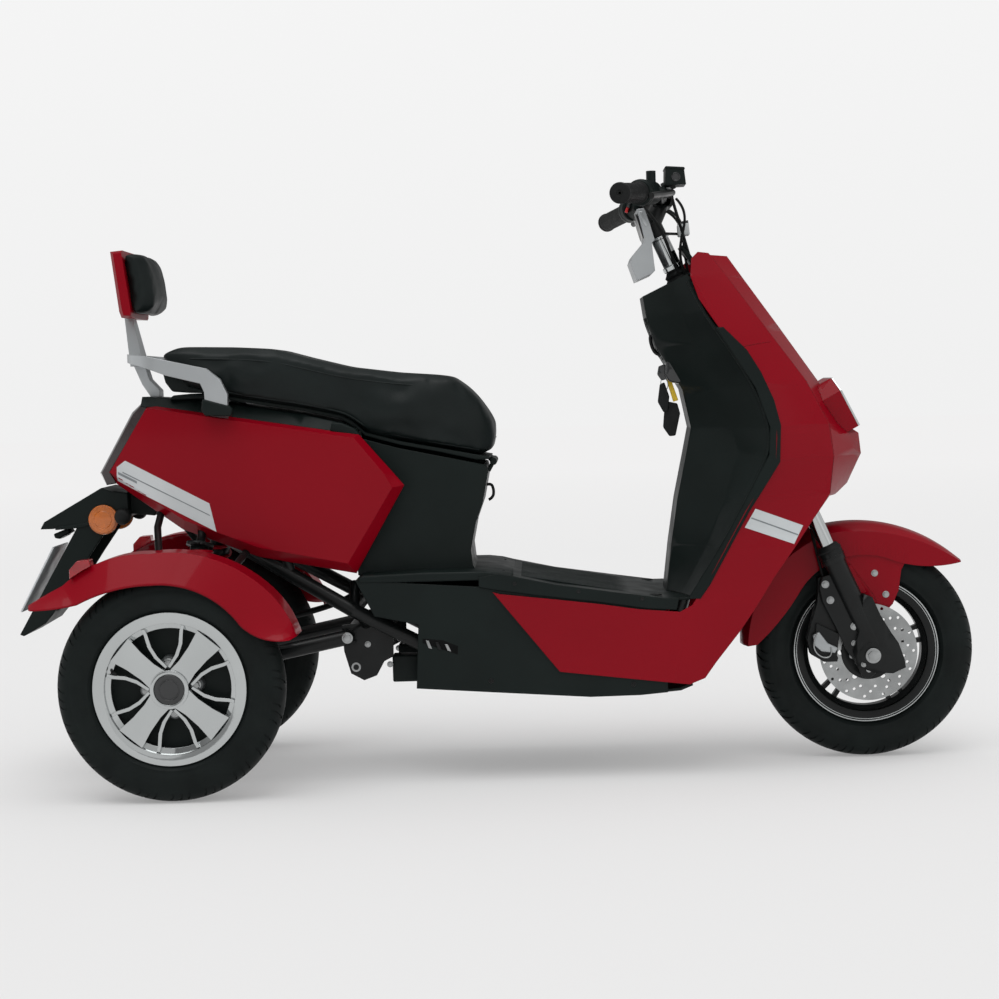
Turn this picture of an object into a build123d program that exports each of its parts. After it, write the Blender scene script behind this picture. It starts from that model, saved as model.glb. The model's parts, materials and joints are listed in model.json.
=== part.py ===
from build123d import *
import os
from math import sin, cos, radians

# Electric three-wheeler, a small step-through with one steered front wheel and two rear wheels.
# +X is forward, +Y is the rider's left, +Z is up and z = 0 is the ground.
# Lengths along the vehicle are counted from the rear axle and moved by rear_x into the part's frame.

rear_x = -601.7
wheel_base = 1325.0
half_track = 280.5
tyre_radius = 212.5
tyre_half_width = 40.0
bead_radius = 127.0
flange_radius = 142.5
rake = 24.0
yoke_x = 1187.0
yoke_z = 480.0
leg_half_gap = 87.0
leg_ahead_of_axle = 12.7
leg_past_axle = 31.5
stanchion_radius = 15.0
slider_radius = 21.0
head_bore = 14.05
shaft_radius = 12.0
running_gap = 0.05
disc_radius = 95.0
disc_y = -58.5
guard_gap = 24.0
guard_half_width = 56.0
fender_gap = 40.0
fender_wall = 4.0
fender_inner_y = half_track - 58.5
fender_crease_y = half_track + 19.5
fender_outer_y = half_track + 51.5
plate_y = half_track - 58.5
wall = 3.0
seat_hinge_x = 604.0
seat_hinge_z = 606.0
hinge_pin_radius = 3.5
mirror_x = 918.0
mirror_y = 172.0
mirror_top = 1146.0
mirror_bore = 3.4
mirror_depth = 18.0


def at(point):
    return Vector(point[0] + rear_x, point[1], point[2])


def side_at(y):
    return Plane(origin=(rear_x, y, 0), x_dir=(1, 0, 0), z_dir=(0, -1, 0))


def level_at(z):
    return Plane(origin=(rear_x, 0, z), x_dir=(1, 0, 0), z_dir=(0, 0, 1))


def station_at(x):
    return Plane(origin=(rear_x + x, 0, 0), x_dir=(0, 1, 0), z_dir=(1, 0, 0))


def on_steering(along, ahead, y):
    back = sin(radians(rake))
    up = cos(radians(rake))
    x = yoke_x - along * back + ahead * up
    z = yoke_z + along * up + ahead * back
    return (x, y, z)


front_x = wheel_base
axle_z = tyre_radius
axle_drop = (yoke_z - axle_z) * cos(radians(rake)) + (front_x - yoke_x) * sin(radians(rake))
axle_lead = (front_x - yoke_x) * cos(radians(rake)) - (yoke_z - axle_z) * sin(radians(rake))
leg_offset = axle_lead + leg_ahead_of_axle
leg_end = -axle_drop - leg_past_axle


# a round bar or tube run through its points, with a ball in each bend
def bar(points, radius, mode=Mode.ADD):
    for start, end in zip(points, points[1:]):
        reach = at(end) - at(start)
        with BuildSketch(Plane(origin=at(start), z_dir=reach)) as ring:
            Circle(radius)
        extrude(ring.sketch, amount=reach.length, mode=mode)
    for point in points[1:-1]:
        with Locations(at(point)):
            Sphere(radius, mode=mode)


# a flat plate with a side outline, from y = near to y = far
def plate(outline, near, far, mode=Mode.ADD):
    with BuildSketch(side_at(near)) as shape:
        Polygon(*outline, align=None)
    extrude(shape.sketch, amount=near - far, mode=mode)


# a body lofted straight from section to section, each a closed row of points on its plane
def skin(sections, mode=Mode.ADD, ruled=True):
    faces = []
    for plane, outline in sections:
        with BuildSketch(plane) as shape:
            Polygon(*outline, align=None)
        faces.append(shape.sketch.faces()[0])
    loft(faces, ruled=ruled, mode=mode)


# a right-hand piece and its mirror image on the left
def pair_of(right_part):
    return Compound(children=[right_part, mirror(right_part, about=Plane.XZ)])


def save(part, label):
    part.label = label
    export_step(part, "parts/" + label + ".step")


# a point at a distance and angle from a wheel's axle, in the side view
def round_wheel(x, reach, angle):
    return (x + reach * cos(radians(angle)), axle_z + reach * sin(radians(angle)))


# a thin strip along a row of points joined by arcs: outer arcs, then inner ones moved in by thick
def arched(plane, points, thick, centre_x):
    inner = []
    for x, z in points:
        reach = ((x - centre_x) ** 2 + (z - axle_z) ** 2) ** 0.5
        share = 1 - thick / reach
        inner.append((centre_x + (x - centre_x) * share, axle_z + (z - axle_z) * share))
    with BuildSketch(plane) as shape:
        with BuildLine():
            for index in range(0, len(points) - 2, 2):
                ThreePointArc(points[index], points[index + 1], points[index + 2])
            Line(points[-1], inner[-1])
            for index in range(len(points) - 1, 1, -2):
                ThreePointArc(inner[index], inner[index - 1], inner[index - 2])
            Line(inner[0], points[0])
        make_face()
    return shape.sketch.faces()[0]


os.makedirs("parts", exist_ok=True)

# Front body: one faceted shell, level by level, from which mask and side aprons are cut.
# z, half width at the rim, x of the rim, half width of the crease, its x, x of the nose
front_levels = [
    (150.0, 188.0, 930.0, 182.0, 985.0, 1000.0),
    (330.0, 190.0, 974.0, 182.0, 1102.0, 1120.0),
    (431.0, 190.0, 1038.0, 172.0, 1173.0, 1200.0),
    (529.0, 190.0, 1095.0, 138.0, 1246.0, 1287.0),
    (600.0, 190.0, 1138.0, 130.0, 1256.0, 1322.0),
    (640.0, 190.0, 1141.0, 128.0, 1252.0, 1318.0),
    (661.0, 190.0, 1140.0, 127.0, 1250.0, 1288.0),
    (745.0, 189.0, 1117.0, 122.0, 1207.0, 1240.0),
    (850.0, 178.0, 1040.0, 106.0, 1133.0, 1168.0),
    (950.0, 150.0, 992.0, 84.0, 1064.0, 1098.0),
    (1002.0, 112.0, 975.0, 64.0, 1030.0, 1062.0),
]
outer_sections = []
inner_sections = []
for z, rim_y, rim_x, crease_y, crease_x, nose_x in front_levels:
    outer_sections.append((level_at(z), [
        (560, -rim_y), (rim_x, -rim_y), (crease_x, -crease_y), (nose_x, -34),
        (nose_x, 34), (crease_x, crease_y), (rim_x, rim_y), (560, rim_y)]))
    inner_sections.append((level_at(z), [
        (550, -rim_y + wall), (rim_x - 1, -rim_y + wall), (crease_x - 4, -crease_y + 2.5),
        (nose_x - 5, -33), (nose_x - 5, 33), (crease_x - 4, crease_y - 2.5),
        (rim_x - 1, rim_y - wall), (550, rim_y - wall)]))

with BuildPart() as front_body:
    skin(outer_sections)
with BuildPart() as front_shell:
    add(front_body.part)
    skin(inner_sections, Mode.SUBTRACT)

lamp_face = Plane(origin=at((1288, 0, 700)), x_dir=(0, 1, 0), z_dir=(0.883, 0, 0.469))
lamp_outline = [(-62, 54), (-88, 26), (-70, -52), (70, -52), (88, 26), (62, 54)]
lamp_bore = [(-55, 46), (-78, 23), (-62, -44), (62, -44), (78, 23), (55, 46)]

mask_half = [(64, 1010), (84, 950), (106, 850), (122, 745), (128, 661), (130, 600), (138, 529), (72, 478)]
mask_outline = [(-y, z) for y, z in mask_half] + [(y, z) for y, z in reversed(mask_half)]

with BuildPart() as front_mask:
    add(front_shell.part)
    with BuildSketch(station_at(990)):
        Polygon(*mask_outline, align=None)
    extrude(amount=400, mode=Mode.INTERSECT)
    plate([(970, 1010), (1009, 993), (1069, 991), (1400, 900), (1400, 640), (1328, 578), (1303, 548),
           (1262, 524), (1240, 524), (1120, 524)], 200, -200, Mode.INTERSECT)
    with BuildSketch(lamp_face.offset(-120)):
        Polygon(*lamp_bore, align=None)
    extrude(amount=160, mode=Mode.SUBTRACT)
save(front_mask.part, "front_mask")

apron_outline = [
    (598, 363), (721, 208), (967, 177), (996, 188), (1018, 218), (1065, 276), (1098, 323), (1134, 379),
    (1173, 431), (1213, 485), (1245, 524), (1400, 600), (1400, 800), (1069, 993), (1009, 998), (994, 984),
    (989, 949), (1003, 905), (1039, 848), (1081, 806), (1106, 764), (1129, 711), (1141, 663), (1138, 594),
    (1117, 561), (1078, 502), (1040, 435), (1001, 366), (974, 328), (951, 316), (875, 323), (800, 335),
    (725, 345), (612, 359)]
with BuildPart() as apron_right:
    add(front_shell.part)
    plate(apron_outline, 0, -210, Mode.INTERSECT)
    with BuildSketch(station_at(800)):
        Polygon(*mask_outline, align=None)
        Polygon((-150, 480), (150, 480), (150, 100), (-150, 100), align=None)
    extrude(amount=600, mode=Mode.SUBTRACT)
save(pair_of(apron_right.part), "front_aprons")

with BuildPart() as headlamp_housing:
    with BuildSketch(lamp_face):
        Polygon(*lamp_outline, align=None)
    extrude(amount=-90)
    with BuildSketch(lamp_face):
        Polygon(*lamp_bore, align=None)
    extrude(amount=-90, mode=Mode.SUBTRACT)
    add(front_body.part, mode=Mode.SUBTRACT)
save(headlamp_housing.part, "headlamp_housing")

with BuildPart() as headlamp_trim:
    with BuildSketch(lamp_face):
        Polygon(*lamp_outline, align=None)
        Polygon(*lamp_bore, align=None, mode=Mode.SUBTRACT)
    extrude(amount=4)
save(headlamp_trim.part, "headlamp_trim")

with BuildPart() as headlamp_lens:
    with BuildSketch(lamp_face.offset(-8)):
        Polygon(*lamp_bore, align=None)
    extrude(amount=10)
save(headlamp_lens.part, "headlamp_lens")

# Legshield: a shell of constant thickness along X, folded round the steering column.
# z, half width at the rim, x of the rim, x of the fold, x of the column's face
shield_levels = [
    (340.0, 184.0, 971.0, 958.0, 934.0),
    (434.0, 184.0, 1034.0, 1010.0, 946.0),
    (521.0, 184.0, 1084.0, 1046.0, 960.0),
    (608.0, 184.0, 1131.0, 1072.0, 979.0),
    (660.0, 184.0, 1134.0, 1062.0, 990.0),
    (735.0, 183.0, 1108.0, 1034.0, 975.0),
    (822.0, 178.0, 1054.0, 998.0, 925.0),
    (880.0, 168.0, 1014.0, 972.0, 908.0),
    (965.0, 138.0, 980.0, 944.0, 896.0),
]
shield_outer = []
shield_inner = []
for z, rim_y, rim_x, fold_x, face_x in shield_levels:
    shield_outer.append((level_at(z), [
        (rim_x, -rim_y), (rim_x, rim_y), (fold_x, 118), (face_x, 56), (face_x, -56), (fold_x, -118)]))
    shield_inner.append((level_at(z), [
        (rim_x + 5, -rim_y), (rim_x + 5, rim_y), (fold_x + 5, 116), (face_x + 4, 54),
        (face_x + 4, -54), (fold_x + 5, -116)]))
with BuildPart() as deck:
    skin(shield_outer)
    plate([(890, 911), (987, 955), (987, 951), (890, 907)], 200, -200, Mode.INTERSECT)
with BuildPart() as legshield:
    skin(shield_outer)
    skin(shield_inner, Mode.SUBTRACT)
    add(deck.part)
    bar([on_steering(440, 0, 0), on_steering(560, 0, 0)], 34, Mode.SUBTRACT)
    plate([(880, 350.2), (921, 343.2), (1200, 343.2), (1200, 1000), (987, 955), (894, 913), (880, 907)],
          200, -200, Mode.INTERSECT)
save(legshield.part, "legshield")

# Footboard: a shallow tray upside down with a lip along each side.
foot_outer = [(572, 393), (612, 398), (719, 374), (834, 356), (921, 343), (950, 343),
              (945, 320), (891, 324), (805, 338), (689, 354), (600, 368), (572, 374)]
foot_inner = [(560, 386), (614, 392), (718, 369), (833, 351), (921, 338), (1000, 338), (1000, 300), (560, 300)]
with BuildPart() as footboard:
    plate(foot_outer, 189, -189)
    plate([(940, 343), (972, 343), (972, 338), (940, 338)], 183, -183)
    plate(foot_inner, 184, -184, Mode.SUBTRACT)
    bar([(1020, 0, 500), (955, 0, 300)], 22.3, Mode.SUBTRACT)
save(footboard.part, "footboard")

# Belly: a pan under the floor, open on top and at the front.
belly_outer = [(338, 392), (372, 323), (455, 305), (448, 183), (605, 171), (778, 158), (873, 159),
               (950, 165), (973, 174), (948, 319.7), (891, 323.7), (805, 337.7), (689, 353.7), (600, 367.7),
               (574, 373.7)]
belly_inner = [(380, 420), (378, 329), (461, 311), (453, 188), (605, 176), (778, 163), (873, 164),
               (948, 170), (966, 178), (960, 420)]
with BuildPart() as belly_pan:
    plate(belly_outer, 185, -185)
    plate(belly_inner, 181, -181, Mode.SUBTRACT)
    for side in (-1, 1):
        plate([(925, 400), (925, 100), (1000, 100), (1000, 400)], side * 184.5 + 5.5, side * 184.5 - 5.5, Mode.SUBTRACT)
        bar([(420, side * 140, 282), (420, side * 104, 388.7)], 9.3, Mode.SUBTRACT)
        bar([(500, side * 140, 240), (330, side * 140, 330), (210, side * 120, 400)], 14.3, Mode.SUBTRACT)
save(belly_pan.part, "belly_pan")

with BuildPart() as battery_pack:
    plate([(480, 186.2), (605, 176.3), (778, 163.3), (873, 164.3), (873, 290), (480, 322)], 118, -118)
save(battery_pack.part, "battery_pack")

# Rear body: two flat flanks with bevelled borders, closer together at the tail, and a dark strip on top.
flank_front = (435.0, 190.0)
flank_back = (-140.0, 104.0)
flank_bevel = 24.0
flank_edge = [(-63, 731), (-44, 733), (352, 668), (414, 596), (436, 570), (338, 403), (150, 437), (0, 493),
              (-129, 584), (-143, 608)]
flank_face = [(-62, 727), (-44, 728), (344, 662), (399, 594), (414, 567), (324, 424), (153, 457), (8, 512),
              (-122, 598), (-138, 608)]
flank_run = flank_front[0] - flank_back[0]
flank_taper = (flank_front[1] - flank_back[1]) / flank_run
flank_length = (1 + flank_taper ** 2) ** 0.5


def flank_y(x, inset):
    return flank_back[1] + (x - flank_back[0]) * flank_taper - inset


def flank_at(inset):
    return Plane(origin=at((0, -flank_y(0, inset), 0)), x_dir=(1, -flank_taper, 0), z_dir=(-flank_taper, -1, 0))


def on_flank(outline):
    return [(x * flank_length, z) for x, z in outline]


def inward(outline, amount):
    middle_x = sum(x for x, z in outline) / len(outline)
    middle_z = sum(z for x, z in outline) / len(outline)
    moved = []
    for x, z in outline:
        reach = ((x - middle_x) ** 2 + (z - middle_z) ** 2) ** 0.5
        moved.append((x - (x - middle_x) / reach * amount, z - (z - middle_z) / reach * amount))
    return moved


side_rail = [(330, 140, 330), (210, 120, 400), (40, 84, 500), (-90, 60, 580)]
stay_radius = 7.0
fender_reach = tyre_radius + fender_gap
front_stay_x, front_stay_z = round_wheel(0, fender_reach + 1.5 - fender_wall - stay_radius - 0.2, 62)
rear_stay_x, rear_stay_z = round_wheel(0, fender_reach - fender_wall - stay_radius - 0.2, 97)
front_stay = [(125, 102, 450), (118, 170, 436), (front_stay_x, fender_inner_y - 12, front_stay_z),
              (front_stay_x, fender_crease_y - 10, front_stay_z)]
rear_stay = [(-40, 69.2, 549.2), (-46, 120, 500), (rear_stay_x, fender_inner_y - 17, rear_stay_z),
             (rear_stay_x, fender_crease_y - 10, rear_stay_z)]
shock_rod = [(-6, 176, axle_z + 20), (40, 112, 494)]


def on_right(points):
    return [(x, -y, z) for x, y, z in points]


with BuildPart() as tail_panel:
    skin([(flank_at(flank_bevel), on_flank(flank_edge)), (flank_at(0), on_flank(flank_face))])
    skin([(flank_at(flank_bevel + 1), on_flank(inward(flank_edge, 4))),
          (flank_at(wall), on_flank(inward(flank_face, 4)))], Mode.SUBTRACT)
    bar(on_right(front_stay), stay_radius + 0.3, Mode.SUBTRACT)
    bar(on_right(rear_stay), stay_radius + 0.3, Mode.SUBTRACT)
    bar(on_right(shock_rod), 8.3, Mode.SUBTRACT)
    plate([(325, 800), (325, 300), (600, 300), (600, 800)], 118.3, -118.3, Mode.SUBTRACT)
tail_panels = pair_of(tail_panel.part)
save(tail_panels, "tail_panels")

# x, height of the lower edge, height of the top, how far the top stands in from the lower edge
cover_stations = [(-76.0, 733.0, 752.0, 22.0), (19.0, 722.0, 745.0, 24.0), (124.0, 704.5, 730.0, 26.0),
                  (239.0, 685.5, 710.0, 22.0), (318.0, 672.5, 690.0, 14.0)]


def cover_section(row, inset):
    x, low_z, top_z, lean = row
    low_y = flank_y(x, flank_bevel) - inset
    top_y = low_y - lean
    return (station_at(x), [(-low_y, low_z - inset), (-top_y, top_z - inset), (top_y, top_z - inset),
                            (low_y, low_z - inset)])


cover_hollow = [(cover_stations[0][0] + wall,) + cover_stations[0][1:]] + cover_stations[1:]
with BuildPart() as tail_cover:
    skin([cover_section(row, 0) for row in cover_stations])
    skin([cover_section(row, wall) for row in cover_hollow], Mode.SUBTRACT)
    plate([(325, 800), (325, 300), (600, 300), (600, 800)], 118.3, -118.3, Mode.SUBTRACT)
    for side in (-1, 1):
        bar([(210, side * 120, 400), (120, side * 100, 700)], 10.3, Mode.SUBTRACT)
save(tail_cover.part, "tail_cover")

# Tail lamp: a dark strip round the slanted rear edge.
lamp_strip = [(-63.3, 731.3), (-143.4, 608), (-130, 585), (-152, 582), (-163, 606), (-96, 722), (-76.3, 740)]
lamp_tip = [(-64, 730), (-142, 608), (-130, 587), (-148, 584), (-157, 606), (-92, 718), (-75, 736)]
with BuildPart() as tail_lamp:
    plate(lamp_strip, 72, -72)
    for side in (-1, 1):
        skin([(side_at(side * 72), lamp_strip), (side_at(side * 88), lamp_tip)])
    add(tail_cover.part, mode=Mode.SUBTRACT)
    for panel in tail_panels.solids():
        add(panel, mode=Mode.SUBTRACT)
save(tail_lamp.part, "tail_lamp")

# Plate carrier behind the tail: arm, slanted plate and mudguard tip.
with BuildPart() as plate_bracket:
    plate([(-112, 565), (-144, 570), (-163, 577), (-278, 513), (-286, 499), (-262, 499), (-211, 506), (-262, 420),
           (-335, 293), (-327, 290), (-283, 314), (-266, 334), (-190, 446), (-140, 516), (-112, 518)], 70, -70)
    plate([(-200, 505), (-252, 424), (-301, 338), (-235, 338), (-120, 485), (-120, 492), (-160, 506)],
          62, -62, Mode.SUBTRACT)
    plate([(-50, 545), (-66, 518), (-118, 524), (-118, 584), (-72, 584)], 40, -40)
    bar([(-90, -60, 580), (-90, 60, 580)], 12, Mode.SUBTRACT)
save(plate_bracket.part, "plate_bracket")

with BuildPart() as reflector_right:
    with BuildSketch(side_at(-70)):
        with Locations((-160, 515)):
            Circle(29)
    extrude(amount=9)
save(pair_of(reflector_right.part), "side_reflectors")

# Seat box: a hollow store under the seat, open on top.
box_outer = [(330, 676), (345, 662), (420, 640), (500, 622), (572, 606), (590, 602), (594, 587), (582, 528),
             (567, 488), (557, 439), (560, 409), (568, 396), (338, 396)]
with BuildPart() as seat_box:
    plate(box_outer, 118, -118)
    plate([(334, 760), (334, 400), (562, 400), (556, 409), (553, 439), (563, 489), (578, 529), (590, 587),
           (586, 604), (586, 760)], 114, -114, Mode.SUBTRACT)
    for side in (-1, 1):
        bar([(594, side * 60, 588), (seat_hinge_x, side * 60, seat_hinge_z)], 4)
        bar([(seat_hinge_x, side * 46, seat_hinge_z), (seat_hinge_x, side * 66, seat_hinge_z)], 7)
    bar([(seat_hinge_x, -60, seat_hinge_z), (seat_hinge_x, 60, seat_hinge_z)], hinge_pin_radius)
save(seat_box.part, "seat_box")

# Seat: two levels with a soft edge, on a stiff base that carries the hinge.
seat_top = [(-41, 831), (-26, 843), (109, 838), (188, 832), (246, 815), (325, 794), (423, 780), (502, 773),
            (532, 768), (561, 754), (590, 725), (614, 685), (621, 649), (616, 624), (613, 621)]
seat_low = [(580, 621), (504, 637), (428, 653), (361, 672), (337, 694), (315, 706), (239, 724), (124, 744),
            (76, 755), (19, 772), (-9, 792), (-21, 812)]
with BuildPart() as seat_cushion:
    plate(seat_top + seat_low, 150, -150)
    with BuildSketch(level_at(500)):
        with BuildLine():
            Polyline((-60, -118), (0, -134), (200, -142), (330, -136), (480, -128), (590, -104), (640, -60))
            Line((640, -60), (640, 60))
            Polyline((640, 60), (590, 104), (480, 128), (330, 136), (200, 142), (0, 134), (-60, 118))
            Line((-60, 118), (-60, -118))
        make_face()
    extrude(amount=500, mode=Mode.INTERSECT)
save(seat_cushion.part, "seat_cushion")

base_top = [(600, 616), (580, 620), (504, 636), (428, 652), (361, 671), (337, 693), (315, 705), (239, 723),
            (124, 743), (76, 754), (19, 771)]
base_low = [(19, 764), (76, 747), (124, 736), (239, 716), (313, 698), (340, 681), (360, 664), (426, 645),
            (502, 629), (572, 612), (594, 612)]
with BuildPart() as seat_base:
    plate(base_top + base_low, 108, -108)
    bar([(seat_hinge_x, -40, seat_hinge_z), (seat_hinge_x, 40, seat_hinge_z)], 7)
    plate([(588, 616), (600, 616), (608, 610), (604, 600), (596, 606)], 40, -40)
    bar([(seat_hinge_x, -70, seat_hinge_z), (seat_hinge_x, 70, seat_hinge_z)],
        hinge_pin_radius + running_gap, Mode.SUBTRACT)
save(seat_base.part, "seat_base")

# Grab rail: one cast loop round the seat's tail, its feet on the dark strip, and the backrest's blade.
rail_half_width = 164.0
rail_thickness = 15.0
rail_corner = 62.0
rail_side = [(-99, 835), (-55, 830), (-10, 820), (66, 802), (92, 781), (105, 752), (104, 727), (62, 727), (61, 757),
             (54, 774), (-11, 791), (-52, 807), (-99, 820)]
blade_foot = (level_at(812), [(-104, -30), (-78, -30), (-78, 30), (-104, 30)])
blade_middle = (level_at(850), [(-108, -24), (-86, -24), (-86, 24), (-108, 24)])
blade_tip = (level_at(920), [(-116, -14), (-101, -14), (-101, 14), (-116, 14)])
with BuildPart() as grab_rail:
    plate(rail_side, rail_half_width, -rail_half_width)
    with BuildSketch(level_at(600)) as loop:
        with Locations((206, 0)):
            Rectangle(600, 2 * rail_half_width)
        fillet(loop.vertices(), rail_corner)
    extrude(amount=400, mode=Mode.INTERSECT)
    with BuildSketch(level_at(600)) as loop:
        with Locations((206 + rail_thickness, 0)):
            Rectangle(600, 2 * (rail_half_width - rail_thickness))
        fillet(loop.vertices(), rail_corner - rail_thickness)
    extrude(amount=400, mode=Mode.SUBTRACT)
    for side in (-1, 1):
        skin([(side_at(side * 118), [(66, 712.7), (100, 708.4), (100, 741), (66, 741)]),
              (side_at(side * 130), [(66, 709.9), (100, 705.5), (100, 741), (66, 741)]),
              (side_at(side * 150), [(62, 727), (104, 727), (104, 742), (62, 742)])])
    skin([blade_foot, blade_middle, blade_tip])
    plate([(-104, 822), (-80, 822), (-70, 786), (-50, 764), (-50, 751), (-68, 751), (-84, 776), (-99, 812)], 20, -20)
    add(tail_cover.part, mode=Mode.SUBTRACT)
    for panel in tail_panels.solids():
        add(panel, mode=Mode.SUBTRACT)
save(grab_rail.part, "grab_rail")

back_half_width = 92.0
back_full = [(-125, 1034), (-101, 1036), (-86, 915), (-87, 905), (-108, 906), (-112, 918)]
back_edge = [(-117, 1029), (-101, 1031), (-87, 920), (-88, 909), (-101, 910), (-104, 921)]
with BuildPart() as backrest_shell:
    skin([(side_at(-back_half_width), back_edge), (side_at(14 - back_half_width), back_full),
          (side_at(back_half_width - 14), back_full), (side_at(back_half_width), back_edge)])
    skin([blade_middle, blade_tip], Mode.SUBTRACT)
save(backrest_shell.part, "backrest_shell")
pad_full = [(-100.5, 1034), (-80, 1032), (-64, 1026), (-53, 1010), (-46, 980), (-42, 945), (-44, 926), (-56, 915),
            (-70, 909), (-85.8, 907), (-85.6, 914)]
pad_edge = [(-100, 1029), (-88, 1028), (-78, 1022), (-73, 1008), (-67, 980), (-63, 945), (-65, 930), (-71, 921),
            (-78, 914), (-85.8, 911), (-86, 917)]
with BuildPart() as backrest_pad:
    skin([(side_at(3 - back_half_width), pad_edge), (side_at(22 - back_half_width), pad_full),
          (side_at(back_half_width - 22), pad_full), (side_at(back_half_width - 3), pad_edge)])
save(backrest_pad.part, "backrest_pad")

# Frame: head tube, down tube, floor rails, seat rails and stand plates.
with BuildPart() as main_frame:
    head_low = on_steering(105, 0, 0)
    head_high = on_steering(420, 0, 0)
    bar([head_low, head_high], 28)
    bar([on_steering(170, 0, 0), (1020, 0, 500), (955, 0, 300)], 22)
    bar([on_steering(90, 0, 0), on_steering(430, 0, 0)], head_bore, Mode.SUBTRACT)
    for side in (-1, 1):
        bar([(x, side * y, z) for x, y, z in front_stay], stay_radius)
        bar([(x, side * y, z) for x, y, z in rear_stay], stay_radius)
        bar([(420, side * 140, 282), (420, side * 104, 388.7)], 9)
    bar([(420, -104, 388.7), (420, 104, 388.7)], 7)
    for side in (-1, 1):
        bar([(955, 0, 290), (930, side * 60, 262), (905, side * 140, 215)], 14)
        bar([(930, side * 140, 215), (500, side * 140, 240), (330, side * 140, 330), (210, side * 120, 400),
             (40, side * 84, 500), (-90, side * 60, 580)], 14)
        bar([(330, side * 140, 330), (330, side * 100, 380)], 10)
        bar([(210, side * 120, 400), (120, side * 100, 700)], 10)
        plate([(303, 300), (303, 289), (306, 249), (318, 206), (343, 192), (368, 201), (383, 228), (401, 237),
               (402, 290), (402, 310)], side * 116 + 3, side * 116 - 3)
        bar([(350, side * 116, 300), (350, side * 140, 322)], 10)
        bar([(316, side * 100, 279), (316, side * 125, 279)], 12, Mode.SUBTRACT)
    for x, z, reach in [(905, 215, 140), (330, 330, 140), (40, 500, 84), (-90, 580, 60)]:
        bar([(x, -reach, z), (x, reach, z)], 12)
save(main_frame.part, "main_frame")

# Rear axle: motor and gear housing between two axle tubes, on two trailing arms.
with BuildPart() as rear_axle:
    bar([(0, -95, axle_z), (0, 95, axle_z)], 82)
    bar([(0, -97, axle_z), (0, -91, axle_z)], 88)
    bar([(0, 10 - plate_y, axle_z), (0, plate_y - 10, axle_z)], 27)
    for side in (-1, 1):
        bar([(0, side * plate_y, axle_z), (0, side * (plate_y - 8), axle_z)], 68)
        bar([(0, side * (plate_y - 6), axle_z), (0, side * (plate_y - 17), axle_z)], 40)
        bar([(0, side * (plate_y + 1), axle_z), (0, side * (plate_y - 102), axle_z)],
            shaft_radius + running_gap, Mode.SUBTRACT)
save(rear_axle.part, "rear_axle")

with BuildPart() as rear_arms:
    for side in (-1, 1):
        bar([(24, side * 136, axle_z + 8), (316, side * 136, 279)], 15)
    bar([(316, -136, 279), (316, 136, 279)], 12)
    bar([(0, -plate_y, axle_z), (0, plate_y, axle_z)], 27, Mode.SUBTRACT)
save(rear_arms.part, "rear_arms")

with BuildPart() as shock:
    bar(on_right(shock_rod), 8)
    bar([(0, -167.7, 256), (2, -165, 268)], 27)
    for turn in range(7):
        low = 268 + turn * 27
        bar([(2 + turn * 4.5, 6.3 * turn - 165, low), (4 + turn * 4.5, 6.3 * turn - 162, low + 13)], 24)
    bar([(2, -165, 268), (34, -120, 460)], 18)
    bar([(34, -120, 460), (35, -118, 467)], 26)
    bar([(0, -plate_y, axle_z), (0, plate_y, axle_z)], 27, Mode.SUBTRACT)
    bar(on_right(side_rail[1:]), 14, Mode.SUBTRACT)
save(pair_of(shock.part), "rear_shocks")

# Rear fenders: an arched top and a band leaning outwards and down, both drawn round the axle.
# angle round the axle, radius of the arched top, radius of the outer band's hem
fender_rows = [(21, 2, -5), (28, 4, -52), (40, 4.5, -68.5), (62, 1.5, -61.5), (97, 0, -52.5), (117, 14.5, -39.5),
               (134.5, 22.5, -20.5), (142, 37, 5), (148, 52, 42)]
fender_top = [round_wheel(0, fender_reach + top, angle) for angle, top, hem in fender_rows]
fender_low = [round_wheel(0, fender_reach + hem, angle) for angle, top, hem in fender_rows]
with BuildPart() as fender:
    loft([arched(side_at(-fender_inner_y), fender_top, fender_wall, 0),
          arched(side_at(-fender_crease_y), fender_top, fender_wall, 0)], ruled=True)
    loft([arched(side_at(-fender_crease_y), fender_top, fender_wall, 0),
          arched(side_at(-fender_outer_y), fender_low, fender_wall, 0)], ruled=True)
save(pair_of(fender.part), "rear_fenders")

fender_seat = ThreePointArc(fender_top[4], fender_top[5], fender_top[6])
lamp_front, lamp_middle, lamp_back = [fender_seat @ share for share in (0.62, 0.75, 0.88)]
with BuildPart() as fender_lamp:
    with BuildSketch(side_at(20.5 - fender_crease_y)):
        with BuildLine():
            ThreePointArc(lamp_front, lamp_middle, lamp_back)
            Polyline(lamp_back, lamp_back + Vector(0, 17), lamp_middle + Vector(-4, 21), lamp_front + Vector(-2, 12),
                     lamp_front)
        make_face()
    extrude(amount=32)
save(pair_of(fender_lamp.part), "fender_lamps")

# Steering: stem and yoke, two telescopic legs, axle, fender, bar.
with BuildPart() as steering_stem:
    bar([on_steering(60, 0, 0), on_steering(480, 0, 0)], 14)
    bar([on_steering(62, 0, 0), on_steering(104.7, 0, 0)], 26)
    bar([on_steering(420.3, 0, 0), on_steering(446, 0, 0)], 22)
    with BuildSketch(Plane(origin=at(on_steering(66, 0, 0)), x_dir=(0, 1, 0),
                           z_dir=(-sin(radians(rake)), 0, cos(radians(rake))))):
        Polygon((-24, 26), (-98, -12), (-108, -30), (-98, -48), (-60, -54), (60, -54), (98, -48), (108, -30),
                (98, -12), (24, 26), align=None)
    extrude(amount=22)
    for side in (-1, 1):
        bar([on_steering(60, leg_offset, side * leg_half_gap), on_steering(96, leg_offset, side * leg_half_gap)],
            stanchion_radius, Mode.SUBTRACT)
save(steering_stem.part, "steering_stem")

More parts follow.
